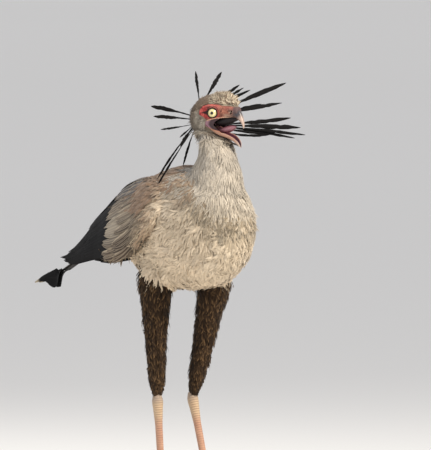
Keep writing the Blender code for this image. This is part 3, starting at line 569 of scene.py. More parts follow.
def surface_of(thing):
    """Points (about the bird's middle line), normals and triangles of a mesh object."""
    mesh = thing.data
    mesh.calc_loop_triangles()
    points, normals = (read(mesh.vertices, field, np.float32).astype(float) for field in ("co", "normal"))
    return points - MIDDLE, normals, read(mesh.loop_triangles, "vertices", np.int32)


def scatter(surface, spacing, keep, seed):
    """Evenly spread points and normals on a surface, where keep(points, normals) is true."""
    points, normals, corners = surface
    rng = np.random.default_rng(seed)
    a, b, c = (points[corners[:, i]] for i in range(3))
    areas = np.linalg.norm(np.cross(b - a, c - a), axis=1) / 2
    count = int(TRIES * areas.sum() / spacing ** 2)
    chosen = np.searchsorted(np.cumsum(areas), rng.random(count) * areas.sum())
    chosen = np.minimum(chosen, len(corners) - 1)
    u, v = rng.random(count), rng.random(count)
    u, v = np.where(u + v > 1, 1 - u, u)[:, None], np.where(u + v > 1, 1 - v, v)[:, None]
    found = a[chosen] + (b[chosen] - a[chosen]) * u + (c[chosen] - a[chosen]) * v
    na, nb, nc = (normals[corners[chosen, i]] for i in range(3))
    facing = unit(na + (nb - na) * u + (nc - na) * v)
    wanted = keep(found, facing)
    found, facing = found[wanted], facing[wanted]
    _, first = np.unique(np.floor(found / spacing).astype(np.int64) @ CUBE_KEYS, return_index=True)
    first = rng.permutation(first)
    return found[first], facing[first]


print("each cube keeps one of about", TRIES, "points")

# %% [markdown]
# A feather is a thin closed sliver: a row of small sections along its shaft. The small ones have
# three points in a section, like a flat tent, and the large ones eight, with a raised shaft.
# All feathers of one coat are worked out together in one array of feather, station, section, xyz.

# %% Feathers
TENT = (np.array([-1.0, 0.0, 1.0]), np.array([0.0, 1.0, 0.0]))
VANE = (np.array([-1.0, -0.5, 0.0, 0.5, 1.0, 0.5, 0.0, -0.5]),
        np.array([0.0, 0.5, 1.3, 0.5, 0.0, -0.5, -0.8, -0.5]))
LEAF, LEAF_STATIONS = (0.45, 0.9, 1.0, 0.66, 0.06), (0.0, 0.3, 0.58, 0.84, 1.0)
ROOT_DEPTH = 0.001
HARD_EDGE = 50
PATCH = 0.003


def vane_points(path, looks, widths, thickness, section, camber=0.0, ragged=1.0):
    """Sections along many paths (feathers, stations, 3). The other arrays are broadcast to them.

    A section's point lies across * width / 2 * a + outward * (thickness * h + camber * width
    * (1 - a^2)) from the path.
    """
    a, h = section
    along = unit(np.gradient(path, axis=1))
    across = unit(np.cross(along, looks))
    outward = np.cross(across, along)
    reach = widths[..., None] / 2 * a * ragged
    rise = thickness[..., None] * h + camber * widths[..., None] * (1 - a * a)
    return path[:, :, None] + across[:, :, None] * reach[..., None] + outward[:, :, None] * rise[..., None]


def write_vanes(name, points, roots_map, numbers, along=None):
    """One mesh of many feathers from points (feathers, stations, section, 3).

    Each feather has its own small patch in the bake map, at its root's place there.
    """
    count, stations, sides, _ = points.shape
    quads, triangles = turned_out(points[0].reshape(-1, 3), *ring_faces(stations, sides))
    starts = (np.arange(count) * stations * sides)[:, None, None]
    a = (TENT if sides == len(TENT[0]) else VANE)[0]
    s = np.linspace(0.0, 1.0, stations) if along is None else along
    bake_map = np.clip(roots_map[:, None, None], PATCH, 1.0 - PATCH) + stacked(a * 0.5, s[:, None] - 0.5) * PATCH
    stored = {"across": a, "along": s[:, None]}
    stored.update((label, values[:, None, None]) for label, values in numbers.items())
    return write_mesh(name, points, quads + starts, triangles + starts, stored, bake_map, HARD_EDGE)


def coat_paths(roots, normals, lies, lengths, lifts, s, rng, sway, curl):
    """Centre lines, looks and heights of feathers that rise from the skin and lie back along it.

    A feather's line at share s is root + lie * length * s + normal * height + side * sway * length
    * s^2, where height = lift * (1 - (1 - s)^2) - curl * length * s^2 - root depth.
    """
    flat = unit(lies - normals * np.einsum("ij,ij->i", lies, normals)[:, None])
    beside = np.cross(flat, normals)
    flat = unit(flat + beside * rng.normal(0.0, sway, len(roots))[:, None])
    bend = rng.normal(0.0, sway, len(roots))[:, None] * lengths[:, None] * s ** 2
    height = lifts[:, None] * (1 - (1 - s) ** 2) - curl * lengths[:, None] * s ** 2 - ROOT_DEPTH
    path = (roots[:, None] + flat[:, None] * (lengths[:, None] * s)[..., None]
            + normals[:, None] * height[..., None] + beside[:, None] * bend[..., None])
    looks = unit(normals + beside * rng.normal(0.0, 0.22, len(roots))[:, None])
    return path, looks[:, None], height


def grow(name, roots, normals, lies, length, width, lift, seed, roots_map, numbers, stations=LEAF_STATIONS,
         spread=LEAF, thickness=0.0006, sway=0.1, curl=0.0, section=TENT, camber=0.0, skin=None, here=slice(None)):
    """A coat of feathers on the roots that here picks, with sizes that vary a little at random.

    Where a map of the skin is given, each feather is laid along the skin at its own heights.
    """
    roots, normals, lies, length, width, lift, roots_map = (
        values[here] if np.ndim(values) else values
        for values in (roots, normals, lies, length, width, lift, roots_map))
    rng = np.random.default_rng(seed)
    count, s = len(roots), np.array(stations)
    ranges = ((length, 0.82, 1.18), (width, 0.8, 1.2), (lift, 0.75, 1.15))
    lengths, broad, lifts = (
        np.broadcast_to(size, count) * rng.uniform(least, most, count) for size, least, most in ranges)
    path, looks, heights = coat_paths(roots, normals, lies, lengths, lifts, s, rng, sway, curl)
    if skin:
        path, facing = skin.drape(path, heights)
        looks = unit(looks * 0.5 + facing)
    depth = thickness * np.linspace(1.0, 0.4, len(s))
    points = vane_points(path, looks, broad[:, None] * np.array(spread), depth, section, camber)
    numbers = {"tone": rng.random(count), **{label: values[here] for label, values in numbers.items()}}
    return write_vanes(name, points, roots_map, numbers)


def round_map(points, low, high, axis_x, axis_z):
    """A place on an unwrapped cylinder: the angle about its axis, and the share along it."""
    return stacked(np.arctan2(axis_x, axis_z) / (2 * np.pi) + 0.5, (points - low) / (high - low))


def row_map(count, low=0.05, high=0.95):
    """Places in a row across the bake map."""
    return stacked(np.linspace(low, high, count), 0.5)


print("tent sections", len(TENT[0]), "and vane sections", len(VANE[0]))

# %% [markdown]
# Feathers never lie in perfect order. One smooth wavering field, a sum of a few sines of the place,
# turns neighbouring feathers the same way, so that they gather into loose tufts. A second, rough
# field shifts the borders between two kinds of feathers, so that they mingle there.

# %% Wavering
def waver(points, size, seed):
    """Three smooth numbers for each point, mostly from -1 to 1: sums of four sines of the place."""
    rng = np.random.default_rng(seed)
    turns = rng.normal(0.0, 3.6 / size, (3, 4, 3))
    phases = rng.uniform(0.0, 2 * np.pi, (3, 4))
    return np.sin(np.einsum("nj,abj->nab", points, turns) + phases).sum(axis=2) / 2.0


def clumped(points, size, seed, share=0.6):
    """A tone from 0 to 1 for each feather, shared in part with its neighbours."""
    random = np.random.default_rng(seed).random(len(points))
    return np.clip(random * (1 - share) + share * (0.5 + 0.62 * waver(points, size, seed)[:, 0]), 0.0, 1.0)


def scattered(points, spread):
    """A rough number for each point from -spread to spread: the fraction of a large sine of its place."""
    raw = np.sin(points @ np.array([12345.7, 31117.3, 7474.9])) * 43758.5453
    return spread * (2.0 * (raw - np.floor(raw)) - 1.0)


print("wavering from", waver(np.zeros((1, 3)), 0.05, 1).round(2))

# %% [markdown]
# A long feather has to follow the curve of the body under it. A coarse map of the skin gives that:
# space is cut into small cubes, each holds the mean place and normal of the skin in it, and a point's
# height over the skin is then its distance from that small plane. Empty cubes ask their neighbours.

# %% Map of the skin
CUBE = 0.01
FURTHEST = 0.012


class SkinMap:
    """The skin's mean place and normal in each cube of a grid, spread outwards by a few cubes."""

    def __init__(self, surface, spread=3):
        points, normals, _ = surface
        self.low = points.min(axis=0) - CUBE * (spread + 2)
        self.size = (np.ceil((points.max(axis=0) - self.low) / CUBE) + spread + 3).astype(int)
        cells = np.ravel_multi_index(((points - self.low) / CUBE).astype(int).T, self.size)
        total = np.bincount(cells, minlength=self.size.prod()).astype(float)
        sums = stacked(*(np.bincount(cells, weights=column, minlength=len(total))
                         for column in np.hstack([points, normals]).T), total)
        grid = sums.reshape(*self.size, 7)
        for _ in range(spread):
            wider = grid.copy()
            for axis in range(3):
                wider = wider + np.roll(wider, 1, axis) + np.roll(wider, -1, axis)
            grid = np.where(grid[..., 6:] > 0.0, grid, wider)
        self.cells = (grid / np.maximum(grid[..., 6:], 1e-9)).reshape(-1, 7)

    def drape(self, path, heights):
        """Move points (feathers, stations, 3) along the skin's normal to the heights over the skin."""
        index = np.clip(((path - self.low) / CUBE).astype(int), 0, self.size - 1)
        found = self.cells[np.ravel_multi_index(tuple(np.moveaxis(index, -1, 0)), self.size)]
        normal = found[..., 3:6]
        sure = ramp(0.66, 0.88, np.linalg.norm(normal, axis=-1)) * (found[..., 6] > 0.0)
        normal = unit(normal)
        gap = heights - np.einsum("fsx,fsx->fs", path - found[..., :3], normal)
        gap = np.clip(gap, -FURTHEST, FURTHEST) * sure
        gap[:, 0] = 0.0
        return path + normal * gap[..., None], unit(normal * sure[..., None] + 1e-6)


print("cubes of", CUBE, "m")

# %% [markdown]
# Skin and coat carry the same markings, so the markings are functions of a place on the body.
# They tell the thighs, the wings, the back and the neck apart, and say where a feather is warm, grey, brown or slate,
# and where painted shade darkens it: on the belly low over the legs and in bands at the bib's lower edge. The neck's
# long feathers reach down over the breast as a bib.

# %% Markings of the body
NECK_MIDDLE = -0.086


def leg_distance(points):
    """Distance from the nearer line between a hip and its ankle."""
    gaps = []
    for hip, ankle, _ in LEGS.values():
        share = np.clip((points[:, 2] - hip[2]) / (ankle[2] - hip[2]), -0.2, 1.0)[:, None]
        gaps.append(np.linalg.norm(points - hip - (ankle - hip) * share, axis=1))
    return np.minimum(*gaps)


def on_thigh(points):
    """True on the trousers. Behind they reach up to the wing's tip, and in front the flank hangs over them."""
    hip_y = np.where(points[:, 0] > 0.0, LEGS[1][0][1], LEGS[-1][0][1])
    behind = ramp(-0.4, 0.6, (points[:, 1] - hip_y) / 0.04)
    top = 0.622 + 0.036 * behind + scattered(points, 0.005)
    return (points[:, 2] < 0.59) | ((points[:, 2] < top) & (leg_distance(points) < 0.0425))


def wing_share(points):
    """A point's place in the folded wing's leaning oval: upwards and outwards, -1 to 1 inside."""
    _, height, beside, half_height, half_width = rows_at(WING_STATIONS, points[:, 1]).T
    up = (points[:, 2] - height) / half_height
    out = (np.abs(points[:, 0]) - beside + WING_LEAN * half_height * up) / half_width
    return up, out


def wing_front(points):
    """How far back the folded wing starts, at the points' heights."""
    return 0.016 - 0.25 * (points[:, 2] - 0.8)


def on_wing(points, margin=0.0):
    """True on the outer face of the folded wing, a little enlarged, its border mingled by a margin."""
    up, out = wing_share(points)
    shift = scattered(points, margin) + margin * waver(points, 0.05, 3)[:, 0]
    inside = (out ** 2 + up ** 2 < 1.25 + 12.0 * shift) & (out > -0.35)
    return inside & (points[:, 1] + 1.6 * shift > wing_front(points)) & (points[:, 1] < 0.26)


def wing_blend(points):
    """0 well outside the folded wing, 0.5 on its border and 1 well inside, for colours that fade over it."""
    up, out = wing_share(points)
    inner = np.minimum((1.25 - out ** 2 - up ** 2) * 0.025, points[:, 1] - wing_front(points))
    return ramp(-0.024, 0.024, inner + 0.008 * waver(points, 0.04, 21)[:, 0]) * (out > -0.6)


def bib_line(points):
    """Height of the lowest roots of the neck's long feathers: low on the breast, high at the nape."""
    turn = np.abs(np.arctan2(points[:, 0], NECK_MIDDLE - points[:, 1]))
    return 0.778 + 0.088 * ramp(0.55, 1.65, turn) + 0.007 * waver(points, 0.07, 4)[:, 0]


def on_neck(points):
    """True on the neck above the shoulders, and on the bib."""
    return (points[:, 2] > bib_line(points) + scattered(points, 0.012)) & (points[:, 1] < -0.022)


def on_back(points, normals):
    """True on the mantle and the rump between the wings."""
    steep = 0.1 + 0.45 * ramp(0.07, 0.0, points[:, 1])
    return (points[:, 1] > -0.04) & (points[:, 2] > 0.795) & (normals[:, 2] > steep) & ~on_neck(points)


def body_lie(points):
    """The way that feathers lie: down the breast and the neck, back along the flanks, down the legs."""
    x, y, z = points.T
    front = ramp(-0.02, -0.15, y)
    neck = ramp(0.84, 0.89, z) * ramp(0.0, -0.03, y)
    leg = ramp(0.665, 0.625, z)
    down = np.maximum(np.maximum(front, neck), leg)
    return unit(stacked(0.22 * np.sign(x) * ramp(0.0, 0.04, np.abs(x)) * front, 1.0 - down,
                        -0.62 * (1 - down) * ramp(0.0, 0.06, np.abs(x)) - down))


def tufted_lie(points, size, share, seed):
    """The lie of the body's feathers with a share of the wavering field added."""
    return unit(body_lie(points) + share * waver(points, size, seed))


def body_numbers(points):
    """Masks from 0 to 1 for the colours of the coat and the skin."""
    x, y, z = points.T
    cloud = waver(points, 0.06, 6)
    up = wing_share(points)[0]
    warm = ramp(0.86, 0.74, z) * (0.35 + 0.65 * ramp(-0.19, -0.08, y))
    warm = np.clip(warm * (0.8 + 0.22 * cloud[:, 0]), 0.0, 1.0)
    nape = ramp(0.84, 0.9, z) * ramp(-0.1, -0.05, y - 0.35 * np.abs(x))
    grey = np.clip(np.maximum(nape, 0.3 * ramp(0.8, 0.9, z)) + 0.12 * cloud[:, 0], 0.0, 1.0)
    # Painted shade: the mask below darkens the belly low over the legs, and two bands at the bib's lower edge where
    # the long neck feathers overhang the breast.
    over_line = z - bib_line(points)
    fold = np.exp(-((over_line - 0.008) / 0.015) ** 2) + 0.5 * np.exp(-((over_line + 0.034) / 0.014) ** 2)
    fold = fold * ramp(-0.07, -0.13, y) * ramp(0.075, 0.03, x)
    painted_shade = np.maximum(ramp(0.606, 0.59, z), np.clip(fold * (1.0 + 0.3 * cloud[:, 1]), 0.0, 1.0))
    brown = ramp(0.8, 0.85, z + 0.012 * cloud[:, 2]) * ramp(-0.16, -0.105, y + 0.012 * cloud[:, 0])
    brown = np.maximum(brown, 0.55 * ramp(-0.02, 0.03, y) * ramp(0.76, 0.8, z))
    blend = wing_blend(points)
    brown = np.maximum(brown, np.clip(1.7 * blend, 0.0, 1.0) * ramp(0.68, 0.7, z))
    wing_brown = np.maximum(
        ramp(0.8, 0.85, z) * ramp(0.1, 0.02, y + 0.015 * cloud[:, 2]), ramp(0.765, 0.71, z + 0.01 * cloud[:, 1]))
    slate = ramp(0.15, 0.6, up + 0.18 * cloud[:, 2]) * ramp(0.05, 0.1, y) * ramp(0.79, 0.82, z)
    light = np.clip(1.7 * (1 - blend), 0.0, 1.0) * ramp(0.085, 0.045, y) * ramp(0.705, 0.735, z)
    pale = ramp(0.15, 0.2, y + 0.02 * cloud[:, 1]) * ramp(0.5, 0.0, up) * ramp(0.69, 0.72, z)
    return {"warm": warm, "grey": grey, "painted_shade": painted_shade, "brown": brown, "wing_brown": wing_brown,
            "slate": slate, "pale": pale, "light": light}


BODY_MASKS, WING_MASKS = ("warm", "grey", "painted_shade", "brown"), ("wing_brown", "slate", "pale", "light")


def masks_at(points, names):
    """The masks of the given names."""
    return {label: values for label, values in body_numbers(points).items() if label in names}


body_surface = surface_of(body_skin)
body_map_grid = SkinMap(body_surface)
skin_numbers = masks_at(body_surface[0], BODY_MASKS)
skin_numbers["thigh"] = on_thigh(body_surface[0])
skin_numbers["wing"] = on_wing(body_surface[0]) | on_back(*body_surface[:2])
store_numbers(body_skin.data, len(body_surface[0]), skin_numbers)
print("marked", len(body_surface[0]), "points of skin")

# %% [markdown]
# A feather's finish is worked out from where a point lies on it. Across tells the shaft from the
# edge, along tells the downy root from the tip, and tone differs from feather to feather.
# Fine barbs run out from the shaft: they are stripes of a sine along and across the vane.

# %% Feather finish
BARBS_ALONG = 160.0
BARB_SLANT = 26.0
BARB_SHADE = (0.35, 0.33, 0.31, 1.0)
DULL, BRIGHT = (0.62, 0.62, 0.62, 1.0), (1.36, 1.36, 1.36, 1.0)


def feather_sheet(
        name, low, high, shaft, edge, root, masks=(), shaft_width=0.1, shaft_share=0.5, edge_from=0.62,
        edge_share=0.4, root_to=0.4, root_share=0.65, roughness=0.78, specular=0.22, sheen=0.12, streak=0.0,
        bands=(), tips=None):
    """A feather's finish.

    masks are pairs of a stored number and the colour that it brings, bands are rows of low, high and
    colour along the feather, and tips is a colour that some feathers have at their ends.
    """
    sheet = Sheet(name, roughness, specular=specular, sheen=sheen)
    across, along, tone = (sheet.attribute(label) for label in ("across", "along", "tone"))
    side = sheet.sum("ABSOLUTE", across)
    cloud = sheet.noise(46.0, 4.0)
    colour = sheet.mix(tone * 0.7 + cloud * 0.3, low, high)
    for label, tint in masks:
        shade = sheet.mix(1.0, tint, sheet.mix(tone * 0.65 + cloud * 0.35, DULL, BRIGHT), "MULTIPLY")
        colour = sheet.mix(sheet.attribute(label), colour, shade)
    if streak:
        pale = sheet.step(sheet.noise(30.0, 2.0) + tone * 0.35, 0.62, 0.82)
        colour = sheet.mix(pale * sheet.step(across, 0.1, 0.5) * streak, colour, edge)
    colour = sheet.mix(sheet.step(side, edge_from, 1.0) * edge_share, colour, edge)
    for low_end, high_end, tint in bands:
        colour = sheet.mix(sheet.window(along, low_end, high_end, 0.015), colour, tint)
    colour = sheet.layers(
        colour, (sheet.fade(along, 0.0, root_to) * root_share, root),
        (sheet.fade(side, 0.0, shaft_width) * shaft_share, shaft))
    if tips:
        colour = sheet.mix(sheet.step(along, 0.45, 0.85) * sheet.step(tone, 0.45, 0.95), colour, tips)
    barbs = sheet.sum("SINE", along * BARBS_ALONG - side * BARB_SLANT)
    sheet.set(Base_Color=sheet.mix(barbs * 0.1 + 0.12, colour, BARB_SHADE, "MULTIPLY"),
              Roughness=cloud * 0.2 + (roughness - 0.1))
    sheet.bump(barbs, 0.00012, 0.6)
    return sheet


CREAM, BUFF, PEARL = (216, 200, 176), (220, 198, 168), (178, 171, 162)
# The first colour here is painted shade: it darkens the belly low over the legs and bands at the bib's edge.
SHADE_TINT, COAL, SLATE = (120, 105, 82), (9, 8, 8), (64, 62, 66)
BROWN, ASH = (140, 114, 92), (112, 103, 92)

pale_sheet = feather_sheet(
    "pale_feather_finish", (180, 161, 134), (232, 217, 194), CREAM, (234, 219, 196), (186, 168, 140),
    shaft_share=0.22, edge_share=0.35, root_to=0.5, root_share=0.5,
    masks=[("warm", BUFF), ("grey", PEARL), ("brown", (158, 134, 110)), ("painted_shade", SHADE_TINT)])
neck_sheet = feather_sheet(
    "neck_feather_finish", (140, 131, 118), (228, 215, 195), (226, 213, 192), (232, 219, 198), (164, 152, 134),
    shaft_share=0.4, shaft_width=0.3, edge_share=0.3, root_to=0.35, root_share=0.5,
    masks=[("warm", (212, 190, 156)), ("grey", (160, 154, 148)), ("painted_shade", SHADE_TINT)])
wing_sheet = feather_sheet(
    "wing_feather_finish", (66, 57, 48), (128, 112, 94), (190, 172, 146), (206, 187, 158), (56, 49, 42),
    shaft_width=0.24, shaft_share=0.55, edge_from=0.55, edge_share=0.42, streak=0.66,
    masks=[("wing_brown", (70, 55, 42)), ("pale", (140, 129, 113)), ("slate", SLATE), ("light", (168, 146, 120))])
back_sheet = feather_sheet(
    "back_feather_finish", (62, 59, 58), (100, 93, 86), (150, 139, 122), (188, 172, 148), (46, 42, 40),
    shaft_share=0.35, edge_from=0.74, edge_share=0.5, streak=0.35, masks=[("brown", BROWN)])
dark_sheet = feather_sheet(
    "dark_feather_finish", (8, 8, 9), (20, 18, 18), (30, 26, 24), (20, 18, 17), COAL, shaft_share=0.4,
    edge_share=0.3, roughness=0.62, specular=0.1, sheen=0.0)
trouser_sheet = feather_sheet(
    "trouser_finish", (28, 20, 15), (66, 49, 33), (88, 67, 46), (92, 70, 48), (16, 12, 10), shaft_share=0.2,
    edge_share=0.4, root_to=0.6, roughness=0.85, specular=0.12, sheen=0.05, tips=(114, 88, 60))

skin_sheet = Sheet("body_skin_finish", roughness=0.85, specular=0.15)
skin_cloud = skin_sheet.noise(70.0, 5.0)
# Besides the markings, the skin takes the same painted shade low on the belly and at the bib's edge.
skin_tints = {"warm": BUFF, "grey": PEARL, "brown": BROWN, "wing": ASH, "painted_shade": SHADE_TINT, "thigh": (30, 23, 17)}
skin_colour = skin_sheet.layers(
    skin_sheet.mix(skin_cloud, (184, 166, 138), (206, 190, 162)),
    *((skin_sheet.attribute(label) * 0.9, tint) for label, tint in skin_tints.items()))
skin_sheet.finish(skin_colour, skin_cloud, 0.2, 0.7, 0.0008)
dress(body_skin, skin_sheet, "pale_feather", "torso", "neck")

# %% [markdown]
# The small feathers of the body are soft, narrow and a little unruly. They lie three to six deep, so
# that no skin shows, and the ones above the legs are long and hang over the trousers.

# %% Body feathers
BODY_SPACING = 0.0041
WING_MINGLE = 0.01


def keep_body(points, normals):
    """The breast, the flanks and the belly."""
    plain = ~on_thigh(points) & ~on_neck(points) & ~on_back(points, normals)
    return plain & ~on_wing(points, WING_MINGLE)


body_roots, body_normals = scatter(body_surface, BODY_SPACING, keep_body, seed=1)
hanging = ramp(0.672, 0.625, body_roots[:, 2]) * ramp(0.075, 0.055, leg_distance(body_roots))
tufts = np.clip(waver(body_roots, 0.03, 14)[:, 0], -1.0, 1.0)
body_map = round_map(body_roots[:, 1], -0.22, 0.3, body_roots[:, 0], body_roots[:, 2] - 0.75)
body_masks = {"tone": clumped(body_roots, 0.016, 23, 0.5), **masks_at(body_roots, BODY_MASKS)}
body_lies = tufted_lie(body_roots, 0.032, 0.48, 7)
breast, left_half = body_roots[:, 1] < -0.085, body_roots[:, 0] > 0.0
regions = {"coat_breast": breast, "coat_flank_left": ~breast & left_half, "coat_flank_right": ~breast & ~left_half}
for seed, (name, here) in enumerate(regions.items()):
    coat = grow(
        name, body_roots, body_normals, body_lies, 0.028 + 0.005 * tufts + 0.004 * hanging, 0.0048,
        BODY_COAT * (0.82 + 0.34 * tufts), 10 + seed, body_map, body_masks, sway=0.2, skin=body_map_grid, here=here)
    dress(coat, pale_sheet, "pale_feather", "torso")

# %% [markdown]
# The neck's feathers are long and thin. They start under the chin and behind the cheek, run down the neck in fine
# pale and grey strands, and end on the breast as a bib, with painted shade in a band below its edge.

# %% Neck feathers
LANCE = (0.4, 0.85, 1.0, 0.62, 0.06)
NECK_SPLIT = 0.868
neck_roots, neck_normals = scatter(body_surface, 0.0029, lambda points, normals: on_neck(points), seed=2)
neck_tufts = np.clip(waver(neck_roots, 0.016, 22)[:, 0], -1.0, 1.0)
low_neck = ramp(0.96, 0.84, neck_roots[:, 2])
neck_map = round_map(neck_roots[:, 2], 0.74, 1.0, neck_roots[:, 0], neck_roots[:, 1] + 0.09)
# The neck's feathers take the body's painted shade as well, in the band at the bib's edge.
neck_masks = {"tone": clumped(neck_roots, 0.01, 24), **masks_at(neck_roots, ("warm", "grey", "painted_shade"))}
bib_edge = ramp(0.04, 0.0, neck_roots[:, 2] - bib_line(neck_roots))[:, None]
neck_lies = tufted_lie(neck_roots, 0.03, 0.24, 8)
neck_lies = unit(neck_lies + 0.5 * bib_edge * waver(neck_roots, 0.03, 9) * np.array([1.0, 0.3, 0.2]))
for name, here in (("coat_neck", neck_roots[:, 2] >= NECK_SPLIT), ("coat_bib", neck_roots[:, 2] < NECK_SPLIT)):
    coat = grow(
        name, neck_roots, neck_normals, neck_lies, 0.038 + 0.016 * low_neck, 0.0028,
        NECK_COAT * (0.72 + 0.28 * neck_tufts) + 0.002 * low_neck, 20, neck_map, neck_masks, spread=LANCE,
        sway=0.12, skin=body_map_grid, here=here)
    dress(coat, neck_sheet, "pale_feather", "neck")

# %% [markdown]
# Where the neck meets the shoulders, a few longer and finer strands stand off it and flare out over
# the brown shoulder. They are the neck's own feathers with more lift, turned outwards.

# %% Ruff
def keep_ruff(points, normals):
    """The sides of the neck's foot."""
    height, aside = points[:, 2] > 0.838, np.abs(points[:, 0]) > 0.03
    return height & (points[:, 2] < 0.905) & aside & (points[:, 1] < -0.015) & (points[:, 1] > -0.15)


ruff_roots, ruff_normals = scatter(body_surface, 0.0066, keep_ruff, seed=31)
ruff_lies = unit(tufted_lie(ruff_roots, 0.03, 0.3, 32) + stacked(0.55 * np.sign(ruff_roots[:, 0]), 0.1, 0.0))
ruff_map = round_map(ruff_roots[:, 2], 0.74, 1.0, ruff_roots[:, 0], ruff_roots[:, 1] + 0.09)
ruff_masks = {"tone": 0.6 + 0.4 * clumped(ruff_roots, 0.02, 34, 0.0), "grey": np.full(len(ruff_roots), 0.25)}
ruff = grow(
    "coat_ruff", ruff_roots, ruff_normals, ruff_lies, 0.046, 0.0019, 0.0085, 33, ruff_map, ruff_masks, spread=LANCE,
    sway=0.22, skin=body_map_grid)
dress(ruff, neck_sheet, "pale_feather", "neck")

# %% [markdown]
# The mantle between the wings has larger, firmer feathers with pale edges, laid like tiles. They use
# the section with eight points, because their width shows.

# %% Back feathers
back_roots, back_normals = scatter(body_surface, 0.008, on_back, seed=3)
back_map = round_map(back_roots[:, 1], -0.05, 0.3, back_roots[:, 0], back_roots[:, 2] - 0.75)
back_coat = grow(
    "coat_back", back_roots, back_normals, tufted_lie(back_roots, 0.06, 0.15, 10), 0.042, 0.012, BODY_COAT, 30,
    back_map, masks_at(back_roots, ("brown",)), section=VANE, camber=0.06, sway=0.09, skin=body_map_grid)
dress(back_coat, back_sheet, "wing_feather", "torso")

# %% [markdown]
# The trousers are black-brown and shaggy. Their feathers hang straight down, a few with worn brown
# tips, and they thin out just above the ankle.

# %% Trouser feathers
LOCK = (0.55, 0.95, 0.85, 0.5, 0.06)


def keep_trousers(points, normals):
    """The thighs, down to a ragged edge above the ankle."""
    return on_thigh(points) & (points[:, 2] > 0.34 + scattered(points, 0.006))


thigh_roots, thigh_normals = scatter(body_surface, 0.0037, keep_trousers, seed=4)
for side in (1, -1):
    here = thigh_roots[:, 0] * side > 0.0
    roots = thigh_roots[here]
    fade = ramp(0.335, 0.42, roots[:, 2])
    shagginess = 0.6 + 0.8 * np.abs(waver(roots, 0.02, 12)[:, 0])
    thigh_map = round_map(roots[:, 2], 0.32, 0.66, roots[:, 0] - side * 0.058, roots[:, 1] - 0.04)
    coat = grow(
        "coat_thigh_" + WORDS[side], roots, thigh_normals[here], tufted_lie(roots, 0.022, 0.26, 11),
        0.012 + 0.016 * fade, 0.0046, 0.003 + 0.0048 * fade * shagginess, 40 + side, thigh_map, {}, spread=LOCK,
        sway=0.2, skin=body_map_grid)
    dress(coat, trouser_sheet, "dark_feather", "thigh_" + WORDS[side])

# %% [markdown]
# The folded wing shows feathers that lie over one another like tiles. Small coverts cover its front.
# They are a coat like the back's, and their sections have eight points too.

# %% Wing coverts
cover_roots, cover_normals = scatter(
    body_surface, 0.005, lambda points, normals: on_wing(points, WING_MINGLE), seed=5)
for side in (1, -1):
    here = (cover_roots[:, 0] * side > 0.0) & (cover_roots[:, 1] < 0.225)
    roots = cover_roots[here]
    cover_map = round_map(roots[:, 1], -0.02, 0.27, roots[:, 2] - 0.76, side * roots[:, 0])
    back_share = ramp(0.02, 0.12, roots[:, 1])
    coat = grow(
        "coverts_" + WORDS[side], roots, cover_normals[here], tufted_lie(roots, 0.045, 0.24, 13),
        0.027 + 0.018 * back_share, 0.0066 - 0.0006 * back_share, WING_COAT + 0.0015 * back_share, 50 + side,
        cover_map, masks_at(roots, WING_MASKS), section=VANE, camber=0.06, sway=0.13, skin=body_map_grid)
    dress(coat, wing_sheet, "wing_feather", "wing_" + WORDS[side])

# %% [markdown]
# Under the small coverts come longer tiers, down to the black flight feathers that reach furthest.
# A tier's feathers start along one line across the wing and run back over the wing's leaning ovals.

# %% Wing tiers
def wing_place(side, behind, angle, lift):
    """A place over the folded wing, with the direction away from it and the way up its face.

    The wing's section is a leaning oval: x = beside + half width cos - lean half height sin,
    z = height + half height sin.
    """
    rows = rows_at(WING_STATIONS, np.minimum(behind, WING_STATIONS[-1][0]))
    height, beside, half_height, half_width = (rows[..., i] for i in range(1, 5))
    turn = np.radians(angle)
    lean = WING_LEAN * half_height
    x = side * (beside + half_width * np.cos(turn) - lean * np.sin(turn))
    point = stacked(x, behind, height + half_height * np.sin(turn))
    rising = unit(stacked(-side * (half_width * np.sin(turn) + lean * np.cos(turn)), 0.0, half_height * np.cos(turn)))
    outward = stacked(side * rising[..., 2], 0.0, -side * rising[..., 0])
    return point + outward * lift[..., None], outward, rising


def even_angles(behind, top, bottom, count):
    """Angles round the wing that are evenly far apart on its face."""
    half_height, half_width = rows_at(WING_STATIONS, [behind])[0][3:]
    angles = np.radians(np.linspace(top, bottom, 60))
    steps = np.hypot(half_width * np.diff(np.cos(angles)), half_height * np.diff(np.sin(angles)))
    travelled = np.concatenate([[0.0], np.cumsum(steps)])
    return np.degrees(np.interp(np.linspace(0.0, travelled[-1], count), travelled, angles))


WING_TIERS = {
    "primaries": (0.18, 0.262, 9, 0.021, 24.0, -62.0, 6.0, dark_sheet, "dark_feather"),
    "secondaries": (0.145, 0.2, 15, 0.026, 82.0, -50.0, -2.0, dark_sheet, "dark_feather"),
    "greater_coverts": (0.112, 0.124, 22, 0.019, 84.0, -54.0, -8.0, wing_sheet, "wing_feather"),
    "median_coverts": (0.078, 0.1, 24, 0.015, 82.0, -60.0, -10.0, wing_sheet, "wing_feather")}
FLIGHT_STATIONS = np.linspace(0.0, 1.0, 11)
FLIGHT_SPREAD = np.array([0.62, 0.8, 0.93, 1.0, 1.0, 0.98, 0.94, 0.86, 0.72, 0.46, 0.08])


